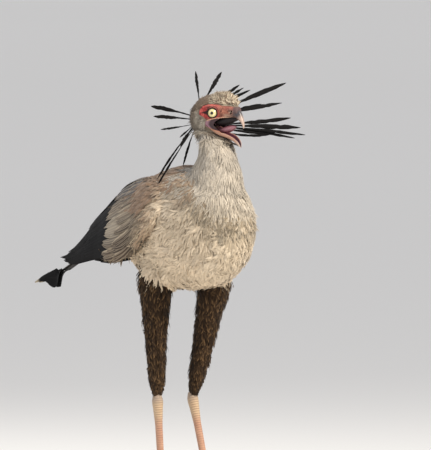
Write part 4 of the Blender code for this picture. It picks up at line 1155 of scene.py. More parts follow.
def wing_tier(side, label, root, length, count, width, top, bottom, drop, seed):
    """One tier of overlapping feathers, whose tips and lower edges stand a little proud."""
    rng = np.random.default_rng(seed)
    small = "coverts" in label
    share = np.linspace(0.0, 1.0, count)
    reach = length * (1.0 - 0.18 * np.abs(share - 0.35)) * rng.uniform(0.9 if small else 0.95, 1.04, count)
    angle = even_angles(root + 0.5 * length, top, bottom, count) + rng.normal(0.0, 2.2 if small else 0.6, count)
    s = FLIGHT_STATIONS
    behind = root + reach[:, None] * s
    lift = np.interp(s, (0.0, 0.35, 0.82, 1.0), (-0.004, 0.0004, 0.0046, 0.006))
    bend = rng.normal(0.0, 3.0 if small else 0.8, count)[:, None] * s ** 2
    path, outward, rising = wing_place(side, behind, angle[:, None] + drop * s + bend, lift)
    looks = unit(outward + rising * math.tan(math.radians(7.0)))
    widths = width * FLIGHT_SPREAD * rng.uniform(0.9, 1.05, count)[:, None]
    points = vane_points(path, looks, widths, np.linspace(0.0006, 0.0003, len(s)), VANE, camber=0.035)
    numbers = {"tone": rng.random(count), **masks_at(path[:, 8], WING_MASKS)}
    return write_vanes(label + "_" + WORDS[side], points, row_map(count, 0.1, 0.9), numbers)


for side in (1, -1):
    for seed, (label, row) in enumerate(WING_TIERS.items()):
        tier = wing_tier(side, label, *row[:7], 60 + seed)
        dress(tier, row[7], row[8], "wing_" + WORDS[side])

# %% [markdown]
# The tail is a stack of black feathers. The middle pair is far the longest: a thin stem that turns on
# edge near its end and widens there, so that from the side it ends in a black spade with a pale tip.

# %% Tail
TAIL_ROOT = np.array([0.0, 0.205, 0.762])
TAIL_SLOPE = math.radians(24.0)
TAIL_CENTRAL_LENGTH, TAIL_SIDE_LENGTH = 0.426, 0.285
TAIL_FEATHER_WIDTH = 0.034
TAIL_TWIST = math.radians(75.0)
TAIL_TWIST_FROM, TAIL_TWIST_TO = 0.73, 0.805
TAIL_FEATHER = [(0.0, 0.5, 0.0), (0.35, 0.75, -0.0089), (0.7, 1.0, -0.0081), (0.92, 0.9, -0.0025), (1.0, 0.15, 0.0)]
TAIL_STREAMER = [
    (0.0, 0.5, 0.0), (0.35, 0.75, -0.009), (0.75, 0.55, -0.0155), (0.805, 1.5, -0.022), (0.9, 0.62, -0.006),
    (1.0, 0.1, -0.001)]
TAIL_NEXT_LENGTH = 0.985
TAIL_SHORTENING, TAIL_STEP_DOWN, TAIL_STEP_ASIDE = 0.055, 0.003, 0.012
TAIL_FIRST_ASIDE, TAIL_FIRST_LEVEL, TAIL_RIGHT_LOWER = 0.004, -0.002, 0.0016
TAIL_STACK_WIDTH = 0.9
TAIL_ROOT_OFFSET = 0.35
TAIL_PAIRS = 5
tail_sheet = feather_sheet(
    "tail_finish", (10, 9, 10), (24, 22, 22), (38, 34, 32), (26, 24, 23), COAL, shaft_share=0.45, roughness=0.62,
    specular=0.12, sheen=0.0, bands=[(0.3, 0.5, (70, 66, 64)), (0.965, 1.1, (120, 110, 96))])
streamer_sheet = feather_sheet(
    "streamer_finish", (40, 37, 36), (62, 57, 54), (30, 27, 26), (58, 53, 50), COAL, shaft_share=0.5,
    roughness=0.62, specular=0.12, sheen=0.0, bands=[(0.7, 0.955, (9, 8, 8)), (0.965, 1.1, (178, 164, 140))])


def tail_vanes(name, rows, lengths, offsets, levels, width, twist, seed):
    """Tail feathers, each turned about its line by twist between two shares of its length.

    A line is root + side * offset * (0.35 + 0.65 s) + normal * (level + lift) + along * length * s.
    """
    rng = np.random.default_rng(seed)
    s = np.concatenate([np.linspace(0.0, 0.7, 11), np.linspace(0.715, 0.9, 14), np.linspace(0.92, 1.0, 6)])
    along = np.array([0.0, math.cos(TAIL_SLOPE), -math.sin(TAIL_SLOPE)])
    normal = np.array([0.0, math.sin(TAIL_SLOPE), math.cos(TAIL_SLOPE)])
    leftwards = np.array([1.0, 0.0, 0.0])
    lengths, offsets, levels = (np.asarray(values, float)[:, None] for values in (lengths, offsets, levels))
    broad, lift = rows_at(rows, s).T[1:]
    sideways = offsets * (TAIL_ROOT_OFFSET + (1.0 - TAIL_ROOT_OFFSET) * s)
    path = (TAIL_ROOT + sideways[..., None] * leftwards + (levels + lift)[..., None] * normal
            + (lengths * s)[..., None] * along)
    turn = (twist * np.clip((s - TAIL_TWIST_FROM) / (TAIL_TWIST_TO - TAIL_TWIST_FROM), 0.0, 1.0))[:, None]
    looks = normal * np.cos(turn) - leftwards * np.sin(turn)
    ragged = 1.0 - 0.1 * rng.random((len(lengths), len(s), 1))
    points = vane_points(
        path, looks, width * np.maximum(broad, 0.08), np.linspace(0.0009, 0.0004, len(s)), VANE, camber=0.03,
        ragged=ragged)
    return write_vanes(name, points, row_map(len(lengths), 0.1, 0.9), {"tone": rng.random(len(lengths))}, along=s)


pair = np.repeat(np.arange(TAIL_PAIRS), 2)
tail_side = np.tile([1.0, -1.0], TAIL_PAIRS)
outer = pair / (TAIL_PAIRS - 1)
tail_stack = tail_vanes(
    "tail_stack", TAIL_FEATHER, TAIL_SIDE_LENGTH - TAIL_SHORTENING * outer,
    tail_side * (TAIL_FIRST_ASIDE + TAIL_STEP_ASIDE * outer),
    TAIL_FIRST_LEVEL - TAIL_STEP_DOWN * pair - TAIL_RIGHT_LOWER * (tail_side < 0),
    TAIL_FEATHER_WIDTH * TAIL_STACK_WIDTH, 0.0, 70)
dress(tail_stack, tail_sheet, "dark_feather", "tail")
tail_long = tail_vanes(
    "tail_streamers", TAIL_STREAMER, [TAIL_CENTRAL_LENGTH, TAIL_CENTRAL_LENGTH * TAIL_NEXT_LENGTH], [-0.004, 0.005],
    [0.0045, 0.002], TAIL_FEATHER_WIDTH, TAIL_TWIST, 71)
dress(tail_long, streamer_sheet, "dark_feather", "tail")

# %% [markdown]
# The head is turned to the bird's left, so its forms are drawn in the head's own directions: forward,
# left and up from its middle. The skin is melted from the skull, the chin, the swollen lids and the
# brows at a voxel under a millimetre, and the open mouth, the eye sockets and the slits of the nostrils
# are cut from it.

# %% Sizes of the head
HEAD_CENTRE = np.array([0.0, -0.0575, 1.018])
HEAD_TURN = math.radians(12.0)
AHEAD = np.array([math.sin(HEAD_TURN), -math.cos(HEAD_TURN), 0.0])
BESIDE = np.array([math.cos(HEAD_TURN), math.sin(HEAD_TURN), 0.0])
SKULL_STATIONS = [
    (-0.038, -0.004, 0.007, 0.01), (-0.031, -0.004, 0.022, 0.0275), (-0.014, -0.003, 0.032, 0.0415),
    (0.008, 0.0, 0.036, 0.0465), (0.032, 0.004, 0.034, 0.046), (0.052, 0.0125, 0.0275, 0.038),
    (0.07, 0.018, 0.02, 0.028), (0.084, 0.013, 0.0145, 0.0215), (0.094, 0.0065, 0.011, 0.016),
    (0.0975, 0.005, 0.007, 0.01)]
CHIN_STATIONS = [
    (-0.012, -0.036, 0.029, 0.018), (0.02, -0.045, 0.0245, 0.013), (0.045, -0.0555, 0.018, 0.0085),
    (0.066, -0.0625, 0.012, 0.0055), (0.078, -0.067, 0.005, 0.0025)]
MOUTH_CORNER = (0.016, -0.0245)
PALATE_LINE = [
    (0.02, -0.0155), (0.032, -0.0112), (0.045, -0.008), (0.06, -0.0058), (0.08, -0.005), (0.097, -0.007),
    (0.13, -0.014)]
FLOOR_LINE = [(0.13, -0.1), (0.098, -0.0655), (0.084, -0.052), (0.068, -0.0445), (0.043, -0.0375), (0.028, -0.032)]
EYE_CENTRE = (0.0356, 0.024, 0.0058)
EYE_RADIUS = 0.0138
EYE_LOOK = (0.45, 0.89, 0.0)
LID_RING, LID_THICKNESS, LID_LEVEL = 0.0128, 0.0024, 0.0062
BROW_STATIONS = [
    (0.01, 0.029, 0.0165, 0.002), (0.024, 0.0315, 0.0215, 0.0036), (0.04, 0.029, 0.022, 0.0036),
    (0.058, 0.0215, 0.018, 0.0022)]
NOSTRIL = (0.082, 0.0125, 0.0076)


def head_points(forward, left, up):
    """Places from distances forward, left and up from the head's middle."""
    forward, left, up = np.broadcast_arrays(forward, left, up)
    return HEAD_CENTRE + forward[..., None] * AHEAD + left[..., None] * BESIDE + up[..., None] * UPWARDS


def head_places(points):
    """Distances forward, left and up of points about the body's middle line."""
    offset = points - HEAD_CENTRE
    return offset @ AHEAD, offset @ BESIDE, offset[..., 2]


def head_direction(forward, left, up):
    """A direction of length one in the head's own terms."""
    return unit(forward * AHEAD + left * BESIDE + up * UPWARDS)


def head_ovals(stations, count, sides):
    """Upright ovals across the head, one for each reading of the stations."""
    forward, up, half_width, half_height = even_rows(stations, count).T
    return oval_rings(head_points(forward, 0 * forward, up), BESIDE, UPWARDS, half_width, half_height, sides)


def ball_rings(centre, axes, rows, sides):
    """An ellipsoid: centre + axis0 * cos(pole angle) + (axis1 cos + axis2 sin) * sin(pole angle)."""
    pole = np.linspace(0.02, np.pi - 0.02, rows)[:, None, None]
    turn = turns(sides)[:, None]
    first, second, third = (np.asarray(axis) for axis in axes)
    return centre + first * np.cos(pole) + (second * np.cos(turn) + third * np.sin(turn)) * np.sin(pole)


def eye_frame(side):
    """The middle of an eyeball, the way it looks, its forward side and its upper side."""
    centre = head_points(EYE_CENTRE[0], side * EYE_CENTRE[1], EYE_CENTRE[2])
    look = head_direction(EYE_LOOK[0], side * EYE_LOOK[1], EYE_LOOK[2])
    front = unit(AHEAD - look * (AHEAD @ look))
    above = unit(np.cross(look, front))
    return centre, look, front, above * np.sign(above[2])


def lid_rings(side):
    """A ring of skin round the eye, thicker above and behind, as a bent tube."""
    centre, look, front, above = eye_frame(side)
    turn = np.linspace(0.0, 2 * np.pi, 73)[:-1, None]
    thick = LID_THICKNESS * (1.0 + 0.22 * np.sin(turn) - 0.1 * np.cos(turn))
    outward = front * np.cos(turn) + above * np.sin(turn)
    spine = centre + look * LID_LEVEL + outward * LID_RING
    around = turns(20)[:, None]
    return spine[:, None] + thick[:, None] * (outward[:, None] * np.cos(around) + look * np.sin(around))


def brow_rings(side):
    """The ridge of skin over the eye."""
    forward, left, up, radius = even_rows(BROW_STATIONS, 24).T
    ends = np.sqrt(np.clip(np.sin(np.linspace(0.0, np.pi, 24)), 0.02, 1.0))
    return tube_rings(head_points(forward, side * left, up), radius * ends, radius * ends, 16)


def mouth_prism():
    """A slab across the head whose side view is the open mouth."""
    outline = np.array([MOUTH_CORNER] + PALATE_LINE + FLOOR_LINE)
    return np.stack([head_points(outline[:, 0], reach, outline[:, 1]) for reach in (0.06, -0.06)])


print("the head looks", round(math.degrees(HEAD_TURN)), "degrees to its left")

# %% [markdown]
# The face is bare from behind the eye to the bill. Its edge is a line of heights at a few distances
# forward. The mouth has such lines too, for the palate and the floor, and the distance from them
# paints the pale lips and the orange band of the lower jaw.

# %% Face and mouth masks
BARE_TOP = [
    (0.0, 0.004), (0.0024, 0.012), (0.0107, 0.0228), (0.03, 0.0276), (0.052, 0.0264), (0.07, 0.0235),
    (0.088, 0.0215), (0.11, 0.021)]
BARE_BOTTOM = [
    (0.0, 0.002), (0.005, -0.0005), (0.0146, -0.0034), (0.0232, -0.012), (0.0255, -0.026), (0.029, -0.0385),
    (0.043, -0.0455), (0.068, -0.0525), (0.084, -0.06), (0.11, -0.085)]


def line_at(line, forward):
    """Height of a line of (forward, up) points."""
    return np.interp(forward, [row[0] for row in line], [row[1] for row in line])


def bare_mask(forward, left, up):
    """1 on the bare face and 0 under the feathers."""
    inside = np.minimum(line_at(BARE_TOP, forward) - up, up - line_at(BARE_BOTTOM, forward))
    return ramp(-0.001, 0.0014, inside) * ramp(0.0, 0.003, forward)


def mouth_lines(forward):
    """Heights of the palate and of the mouth's floor."""
    return line_at([MOUTH_CORNER] + PALATE_LINE, forward), line_at([MOUTH_CORNER] + FLOOR_LINE[::-1], forward)


def mouth_gap(forward, up):
    """Distance from the mouth's opening as seen from the side, below 0 inside it."""
    palate, ground = mouth_lines(forward)
    corner = np.hypot(forward - MOUTH_CORNER[0], up - MOUTH_CORNER[1])
    return np.where(forward > MOUTH_CORNER[0], np.maximum(up - palate, ground - up), corner)


def skull_width(forward, up):
    """Half width of the skull at a height."""
    _, middle, half_width, half_height = rows_at(SKULL_STATIONS, np.clip(forward, -0.038, 0.0975)).T
    return half_width * np.sqrt(np.clip(1 - ((up - middle) / half_height) ** 2, 0.02, 1.0))


def mouth_mask(forward, left, up):
    """1 inside the mouth, fading over its lips."""
    palate, ground = mouth_lines(forward)
    inner = ramp(0.0006, 0.0026, skull_width(forward, up) - np.abs(left))
    between = ramp(0.001, -0.0004, up - palate) * ramp(-0.0022, -0.0008, up - ground)
    return inner * between * ramp(0.014, 0.017, forward)


head_skin = join_rings(
    "head_skin",
    [head_ovals(SKULL_STATIONS, 80, 72), head_ovals(CHIN_STATIONS, 40, 48)] + [brow_rings(side) for side in (1, -1)])
lids = []
for side in (1, -1):
    rings = lid_rings(side)
    lids.append(write_mesh("lid_form", rings, loop_faces(*rings.shape[:2])))
    combine(head_skin, lids[-1], "UNION")
cutters = [write_rings("mouth_cutter", mouth_prism())]
cutters.append(write_rings("throat_cutter", ball_rings(
    head_points(0.02, 0.0, -0.031), (AHEAD * 0.026, BESIDE * 0.017, UPWARDS * 0.008), 24, 32)))
SLIT_WAY = head_direction(0.55, 0.0, 0.83)
SLIT_LENGTH, SLIT_WIDTH, SLIT_DEPTH = 0.005, 0.0016, 0.005
for side in (1, -1):
    centre, look, front, above = eye_frame(side)
    ball = EYE_RADIUS + 0.0002
    cutters.append(write_rings("eye_cutter", ball_rings(centre, np.array([look, front, above]) * ball, 32, 48)))
    slit = head_points(NOSTRIL[0], side * NOSTRIL[1], NOSTRIL[2])
    wide_way = unit(np.cross(SLIT_WAY, BESIDE))
    cutters.append(write_rings("nostril_cutter", ball_rings(
        slit, (SLIT_WAY * SLIT_LENGTH, wide_way * SLIT_WIDTH, BESIDE * SLIT_DEPTH), 20, 20)))
melt(head_skin, 0.0009, 2, 0.4, cutters)
for lid in lids:
    bpy.data.objects.remove(lid, do_unlink=True)
print("head skin", len(head_skin.data.polygons), "faces")

# %% [markdown]
# The bare skin is swollen and creased: rings of folds round the eye, fine wrinkles that run forward
# on the lores, and a crease under the brow. The melted skin's points are moved along their normals by
# sums of waves, and drawn in where feathers will cover them.

# %% Folds of the face
HEAD_COAT = 0.0022
FOLD_STEP = 0.0036
skin_points, skin_normals, _ = surface_of(head_skin)
forward, left, up = head_places(skin_points)
bare, mouth = bare_mask(forward, left, up), mouth_mask(forward, left, up)
eye_gap = stacked(forward, np.abs(left), up) - EYE_CENTRE
eye_axis = unit(np.array(EYE_LOOK))
reach = np.linalg.norm(eye_gap - (eye_gap @ eye_axis)[:, None] * eye_axis, axis=1)
around = np.arctan2(eye_gap[:, 2], eye_gap[:, 0])
fold_phase = reach / FOLD_STEP + 0.22 * np.sin(3 * around) + 0.1 * np.sin(7 * around + 1.0)
folds = 0.0008 * np.sin(2 * np.pi * fold_phase) * ramp(0.015, 0.0172, reach) * ramp(0.031, 0.021, reach)
lore = ramp(0.045, 0.055, forward)
lore_phase = (up + 0.25 * forward) / 0.0038 + 1.4 * np.sin(forward * 190.0)
folds = folds + 0.0004 * lore * np.sin(2 * np.pi * lore_phase)
crease = -0.0018 * np.exp(-((reach - 0.0168) / 0.0011) ** 2) * ramp(0.1, 0.7, np.sin(around))
pinch = 0.004 * ramp(0.044, 0.062, forward) * ramp(0.012, -0.004, up) * ramp(0.104, 0.09, forward)
pinch = pinch * (np.abs(left) > 0.006)
offset = bare * (folds + crease) * (1 - mouth) - HEAD_COAT * (1 - bare) * (1 - mouth)
moved = skin_points + skin_normals * offset[:, None]
moved = moved - (pinch * (1 - mouth) * np.sign(left) * ramp(0.0, 0.01, np.abs(left)))[:, None] * BESIDE
head_skin.data.vertices.foreach_set("co", (moved + MIDDLE).astype(np.float32).ravel())
head_skin.data.update()
slit_gap = stacked(forward - NOSTRIL[0], up - NOSTRIL[2])
slit_axis = unit(np.array([0.55, 0.83]))
slit_along = np.clip(slit_gap @ slit_axis, -SLIT_LENGTH * 0.8, SLIT_LENGTH * 0.8)[:, None]
head_numbers = {
    "bare": bare, "mouth": mouth, "reach": reach, "forward": forward, "height": up,
    "fold": 0.5 + 0.5 * np.sin(2 * np.pi * np.where(reach < 0.026, fold_phase, lore_phase)),
    "above_eye": ramp(0.15, 0.6, np.sin(around)), "gap": mouth_gap(forward, up),
    "jaw": (up < MOUTH_CORNER[1] - 0.3 * (forward - MOUTH_CORNER[0])).astype(float),
    "nostril": ramp(0.002, 0.001, np.linalg.norm(slit_gap - slit_along * slit_axis, axis=1))}
store_numbers(head_skin.data, len(skin_points), head_numbers)
print("moved the face by up to", np.abs(offset).max().round(4), "m")

# %% [markdown]
# The face is crimson round the eye and browner towards the bill, mottled all over, with painted shade in every crease
# and a painted shadow under the upper lid. A black wedge runs back from the eye, the lips are thin and pale, and the
# lower jaw has a cream and orange band with a dark line under it. The skull's front at the bill's base is slate,
# partly its own colour and partly painted shade under the forehead tuft, and the nostril slits and the inside of the
# mouth are painted near black as shade.

# %% Face finish
face = Sheet("face_finish", roughness=0.5, specular=0.3)
skin_grain = face.noise(420.0, 5.0)
skin_patch = face.noise(95.0, 5.0, 0.65)
blotch = face.step(skin_patch, 0.36, 0.64)
ahead, height, ring, gap, jaw, fold, over_eye, in_mouth = (
    face.attribute(label) for label in ("forward", "height", "reach", "gap", "jaw", "fold", "above_eye", "mouth"))
crimson = face.mix(blotch, (152, 42, 42), (226, 110, 98))
lore_skin = face.mix(blotch, (92, 52, 42), (180, 118, 96))
under_skin = face.mix(blotch, (112, 64, 56), (166, 108, 92))
mauve = face.mix(blotch, (128, 100, 90), (188, 152, 130))
jaw_band = face.layers(
    (182, 142, 120), (face.step(ahead, 0.03, 0.09), (206, 184, 164)), (blotch * 0.3, (170, 104, 84)))
wedge = face.fade(face.sum("ABSOLUTE", height - 0.0064) - (ahead - 0.0078) * 0.24, -0.0008, 0.0008)
wedge = wedge * face.step(ahead, 0.008, 0.011) * face.fade(ahead, 0.0275, 0.031)
face_colour = face.layers(
    crimson, (face.step(ahead - height * 0.7 + skin_patch * 0.014, 0.036, 0.054), lore_skin),
    (face.step(ahead, 0.06, 0.074) * face.step(height, 0.01, 0.018) * 0.7, (172, 104, 92)),
    (face.fade(height - ahead * 0.06, -0.011, -0.005), under_skin),
    (face.step(ahead, 0.056, 0.068) * face.fade(height, 0.001, 0.006), mauve),
    # Painted shade: the troughs of the folds are darkened.
    (face.fade(fold, 0.0, 0.55) * 0.6, (86, 24, 26)),
    (face.fade(ring, 0.016, 0.0185) * 0.55, (150, 40, 40)),
    # Painted shadow: a dark band under the upper lid, above the eye.
    (face.window(ring, 0.0128, 0.0172, 0.0007) * over_eye * 0.85, (52, 16, 20)),
    (face.window(ahead, 0.022, 0.058, 0.006) * face.step(height, 0.013, 0.018) * 0.4, (216, 134, 122)),
    (wedge * 0.92, (22, 14, 16)),
    (face.fade(ring, 0.0122, 0.014), (14, 11, 12)),
    # Slate at the bill's base: partly the bill's own colour, partly painted shade under the forehead tuft.
    (face.step(ahead - height * 0.25, 0.078, 0.087) * 0.85, (74, 66, 68)),
    # Painted shade: the nostril slits are painted near black.
    (face.attribute("nostril") * 0.95, (20, 12, 12)),
    (face.fade(gap, 0.0014, 0.0024) * (1 - jaw) * 0.7, (216, 176, 150)),
    (jaw * face.fade(gap, 0.0072, 0.0084), jaw_band),
    (jaw * face.window(gap, 0.0078, 0.01, 0.0006) * 0.8, (88, 50, 42)),
    # Painted shade: the inside of the mouth is painted near black beyond its corner.
    (in_mouth, face.mix(face.step(ahead, 0.016, 0.03), (150, 104, 120), (34, 14, 18))))
feathered = face.mix(skin_patch, (100, 88, 74), (150, 136, 118))
face.set(Base_Color=face.mix(face.attribute("bare") + in_mouth, feathered, face_colour),
         Roughness=skin_grain * 0.25 + 0.42)
face.bump(skin_grain * 0.5 + skin_patch * 0.5, 0.0006, 0.8)
dress(head_skin, face, "face", "head")

# %% [markdown]
# The eyeball is turned about the way it looks, so one number, the distance from that axis, gives the
# pupil, the pale iris and the black rim. A clear coat gives the wet gloss.

# %% Eyes
EYE_ROWS, EYE_SIDES = 64, 72
PUPIL, IRIS = 0.0036, 0.0099
CORNEA = 0.0007
eye_sheet = Sheet(
    "eye_finish", roughness=0.22, specular=0.5, coat=1.0, alike={"Coat Roughness": 0.02, "Coat IOR": 1.45})
eye_reach = eye_sheet.attribute("reach")
polar = eye_sheet.node("ShaderNodeCombineXYZ", sockets={0: eye_sheet.attribute("around") * 9.0, 1: eye_reach * 160.0})
streaks = eye_sheet.node(
    "ShaderNodeTexNoise", {"noise_dimensions": "2D"}, {"Vector": polar, "Scale": 1.0, "Detail": 3.0})
eye_sheet.set(Base_Color=eye_sheet.layers(
    eye_sheet.mix(streaks, (200, 182, 122), (240, 230, 176)),
    (eye_sheet.step(eye_reach, IRIS * 0.68, IRIS) * 0.6, (132, 112, 58)),
    (eye_sheet.fade(eye_reach, PUPIL, PUPIL + 0.0012) * 0.6, (150, 124, 60)),
    (eye_sheet.fade(eye_reach, PUPIL - 0.0002, PUPIL + 0.0003), (4, 4, 5)),
    (eye_sheet.step(eye_reach, IRIS - 0.0001, IRIS + 0.0004), (8, 7, 8))))
pole = np.linspace(0.02, np.pi - 0.02, EYE_ROWS)[:, None]
eye_numbers = {
    "reach": EYE_RADIUS * np.sin(pole) + 0.05 * (pole > np.pi / 2),
    "around": np.cos(turns(EYE_SIDES)) + np.sin(turns(EYE_SIDES) * 3.0)}
for side in (1, -1):
    centre, look, front, above = eye_frame(side)
    rings = ball_rings(centre, np.array([look, front, above]) * EYE_RADIUS, EYE_ROWS, EYE_SIDES)
    rings = rings + look * (CORNEA * np.exp(-(pole / 0.5) ** 2))[..., None]
    dress(write_rings("eyeball_" + WORDS[side], rings, eye_numbers), eye_sheet, "eye", "eye_" + WORDS[side])

# %% [markdown]
# The upper bill is a hook with a horn-pale side, and its ridge and tip are darkened as painted shade where they turn
# away from the light. The lower one is a trough: its section is a half oval outside and a shallower one inside, and
# the rim between them is rounded. Its inside is painted darker towards the tip, as painted shade under its far rim.

# %% Bill
UPPER_BILL = [
    (0.086, 0.006, 0.01, 0.013), (0.093, 0.002, 0.0092, 0.0108), (0.0985, -0.004, 0.0076, 0.0084),
    (0.1045, -0.0115, 0.0056, 0.0054), (0.1082, -0.019, 0.0038, 0.0036), (0.1096, -0.0255, 0.0024, 0.0024),
    (0.1098, -0.0312, 0.0009, 0.001)]
LOWER_BILL = [
    (0.022, -0.03, 0.0225, 0.005), (0.043, -0.0425, 0.0192, 0.006), (0.068, -0.0495, 0.0146, 0.0062),
    (0.084, -0.0568, 0.0106, 0.0058), (0.0945, -0.0655, 0.0066, 0.0048), (0.099, -0.0718, 0.0036, 0.003),
    (0.1015, -0.0765, 0.001, 0.0012)]
RIM = 0.003
TONGUE = [(0.03, -0.0345, 0.008, 0.0022), (0.046, -0.0362, 0.0092, 0.0056), (0.06, -0.034, 0.0092, 0.0082),
          (0.073, -0.0308, 0.0078, 0.0078), (0.083, -0.028, 0.0048, 0.005), (0.088, -0.0265, 0.0014, 0.0014)]
BILL_SIDES, UPPER_ROWS, LOWER_ROWS = 64, 60, 64
TONGUE_ROWS, TONGUE_SIDES = 48, 40


def bill_path(stations, count):
    """Path points, half widths and half heights of a bill's half, and the way up square to the path."""
    forward, up, half_width, half_height = even_rows(stations, count).T
    path = head_points(forward, 0 * forward, up)
    raised = unit(np.cross(BESIDE, unit(np.gradient(path, axis=0))))
    return path, half_width, half_height, raised * np.sign(raised @ (AHEAD + UPWARDS))[:, None]


def bill_ovals(stations, rows, sides):
    """Ovals along a path of the bill, and how far up each point looks from the path, -1 to 1."""
    path, half_width, half_height, raised = bill_path(stations, rows)
    rings = oval_rings(path, BESIDE, raised, half_width, half_height, sides)
    return rings, np.einsum("rsx,rx->rs", unit(rings - path[:, None]), raised)


def lengthwise(rows):
    """The share of the length, for each ring."""
    return np.linspace(0.0, 1.0, rows)[:, None]


upper_rings, ridge = bill_ovals(UPPER_BILL, UPPER_ROWS, BILL_SIDES)
upper_bill = write_rings("bill_hook", upper_rings, {"lengthwise": lengthwise(UPPER_ROWS), "ridge": ridge})

path, half_width, half_height, raised = bill_path(LOWER_BILL, LOWER_ROWS)
cosine, sine = np.cos(turns(BILL_SIDES)), np.sin(turns(BILL_SIDES))
wall = np.minimum(RIM, half_width[:, None] * 0.4)
x = (half_width[:, None] - wall * np.clip(sine * 4.0, 0.0, 1.0)) * np.sign(cosine) * np.abs(cosine) ** 0.7
deep = 1.75 * half_height[:, None]
deep = np.where(sine < 0.0, deep, np.maximum(deep - wall, 0.0004)) * np.abs(sine) ** 0.8
y = 0.75 * half_height[:, None] - deep
lower_rings = path[:, None] + BESIDE * x[..., None] + raised[:, None] * y[..., None]
lower_bill = write_rings("bill_trough", lower_rings, {
    "lengthwise": lengthwise(LOWER_ROWS), "inside": ramp(0.0, 0.15, sine), "under": ramp(-0.62, -0.86, sine)})

horn_sheet = Sheet("horn_finish", roughness=0.36, specular=0.45)
grain = horn_sheet.noise(500.0, 4.0)
run, ridge_mask = horn_sheet.attribute("lengthwise"), horn_sheet.attribute("ridge")
# The ridge and tip layers are painted shade, where the hook turns away from the light.
horn = horn_sheet.layers(
    (62, 58, 62), (horn_sheet.step(run, 0.24, 0.5), (200, 174, 158)),
    (horn_sheet.fade(ridge_mask, -0.75, 0.05) * 0.8, (104, 76, 66)),
    (horn_sheet.step(ridge_mask, 0.8, 1.0) * 0.5, (92, 84, 84)),
    (horn_sheet.step(run, 0.9, 1.0) * 0.5, (86, 74, 70)), (grain * 0.22, (70, 64, 66)))
horn_sheet.finish(horn, grain, 0.2, 0.24, 0.0002, 0.5)
dress(upper_bill, horn_sheet, "bill", "bill_upper")

trough_sheet = Sheet("trough_finish", roughness=0.4, specular=0.4)
grain = trough_sheet.noise(420.0, 4.0)
run = trough_sheet.attribute("lengthwise")
# Painted shade: the inside of the trough is painted darker towards the tip.
flesh_and_shade = trough_sheet.mix(trough_sheet.step(run, 0.15, 0.55), (120, 66, 82), (62, 28, 40))
trough = trough_sheet.layers(
    (188, 148, 126), (trough_sheet.step(run, 0.45, 0.92), (220, 204, 192)), (grain * 0.35, (166, 108, 88)),
    (trough_sheet.attribute("under") * 0.75, (96, 58, 48)), (trough_sheet.attribute("inside"), flesh_and_shade))
trough_sheet.finish(trough, grain, 0.2, 0.28, 0.0002, 0.5)
dress(lower_bill, trough_sheet, "bill", "bill_lower")

tongue_rings, _ = bill_ovals(TONGUE, TONGUE_ROWS, TONGUE_SIDES)
cosine, sine = np.cos(turns(TONGUE_SIDES)), np.sin(turns(TONGUE_SIDES))
groove = np.exp(-(cosine / 0.22) ** 2) * (sine > 0.0)
tongue = write_rings(
    "tongue_flesh", tongue_rings - UPWARDS * 0.0009 * groove[:, None],
    {"edge": np.abs(cosine), "lengthwise": lengthwise(TONGUE_ROWS)})
tongue_sheet = Sheet("tongue_finish", roughness=0.3, specular=0.5)
grain = tongue_sheet.noise(320.0, 6.0, 0.7)
tongue_colour = tongue_sheet.layers(
    (70, 30, 38), (tongue_sheet.step(grain, 0.3, 0.7), (140, 84, 92)),
    (tongue_sheet.step(tongue_sheet.attribute("edge"), 0.55, 1.0) * 0.55, (168, 116, 124)),
    (tongue_sheet.fade(tongue_sheet.attribute("lengthwise"), 0.05, 0.4) * 0.8, (44, 18, 26)))
tongue_sheet.finish(tongue_colour, grain, 0.25, 0.2, 0.0004)
dress(tongue, tongue_sheet, "mouth", "tongue")

# %% [markdown]
# Behind the bill, soft skin closes the sides of the open mouth. It is lilac on its outer side near the corner, and
# painted almost black towards its front edge and on its inner side, as painted shade of the mouth's hollow. A fold
# hangs from the palate, painted near black as shade too. The side skins are thin walls between two grids of points,
# closed along all four borders.

# %% Skin inside the mouth
GAPE_FRONT, GAPE_HOLLOW = 0.056, 0.018
GAPE_WALL = 0.0011


def wall_faces(rows, columns):
    """Quads of a thin wall whose rings run along one grid and back along the other, closed at both ends."""
    sides = 2 * columns
    quads, _ = ring_faces(rows, sides)
    k = np.arange(columns - 1)
    near = stacked(k + 1, k, sides - 1 - k, sides - 2 - k)
    return np.vstack([quads, near, near[:, ::-1] + (rows - 1) * sides])


def gape_grid(side, inset):
    """The skin between the upper lip and the lower jaw: its front edge is hollowed by sin(pi v)."""
    u, v = np.linspace(0.0, 1.0, 26)[:, None], np.linspace(0.0, 1.0, 22)[None, :]
    front = GAPE_FRONT - GAPE_HOLLOW * np.sin(np.pi * v)
    ahead = MOUTH_CORNER[0] - 0.001 + (front - MOUTH_CORNER[0] + 0.001) * u
    palate, ground = mouth_lines(ahead)
    above = (palate + 0.0012) * (1 - v) + (ground - 0.0012) * v
    top = skull_width(ahead.ravel(), palate.ravel() + 0.002).reshape(ahead.shape) - 0.002
    top = top - 0.0035 * ramp(0.044, 0.062, ahead)
    bottom = np.interp(ahead, [row[0] for row in LOWER_BILL], [row[2] for row in LOWER_BILL]) + 0.001
    beside = top * (1 - v) ** 0.8 + bottom * (1 - (1 - v) ** 0.8) - inset
    wrinkle = 0.0003 * np.sin(40.0 * v + 6.0 * u)
    return head_points(ahead, side * (beside + wrinkle), above)


gape_sheet = Sheet("gape_finish", roughness=0.35, specular=0.45)
grain = gape_sheet.noise(380.0, 5.0)
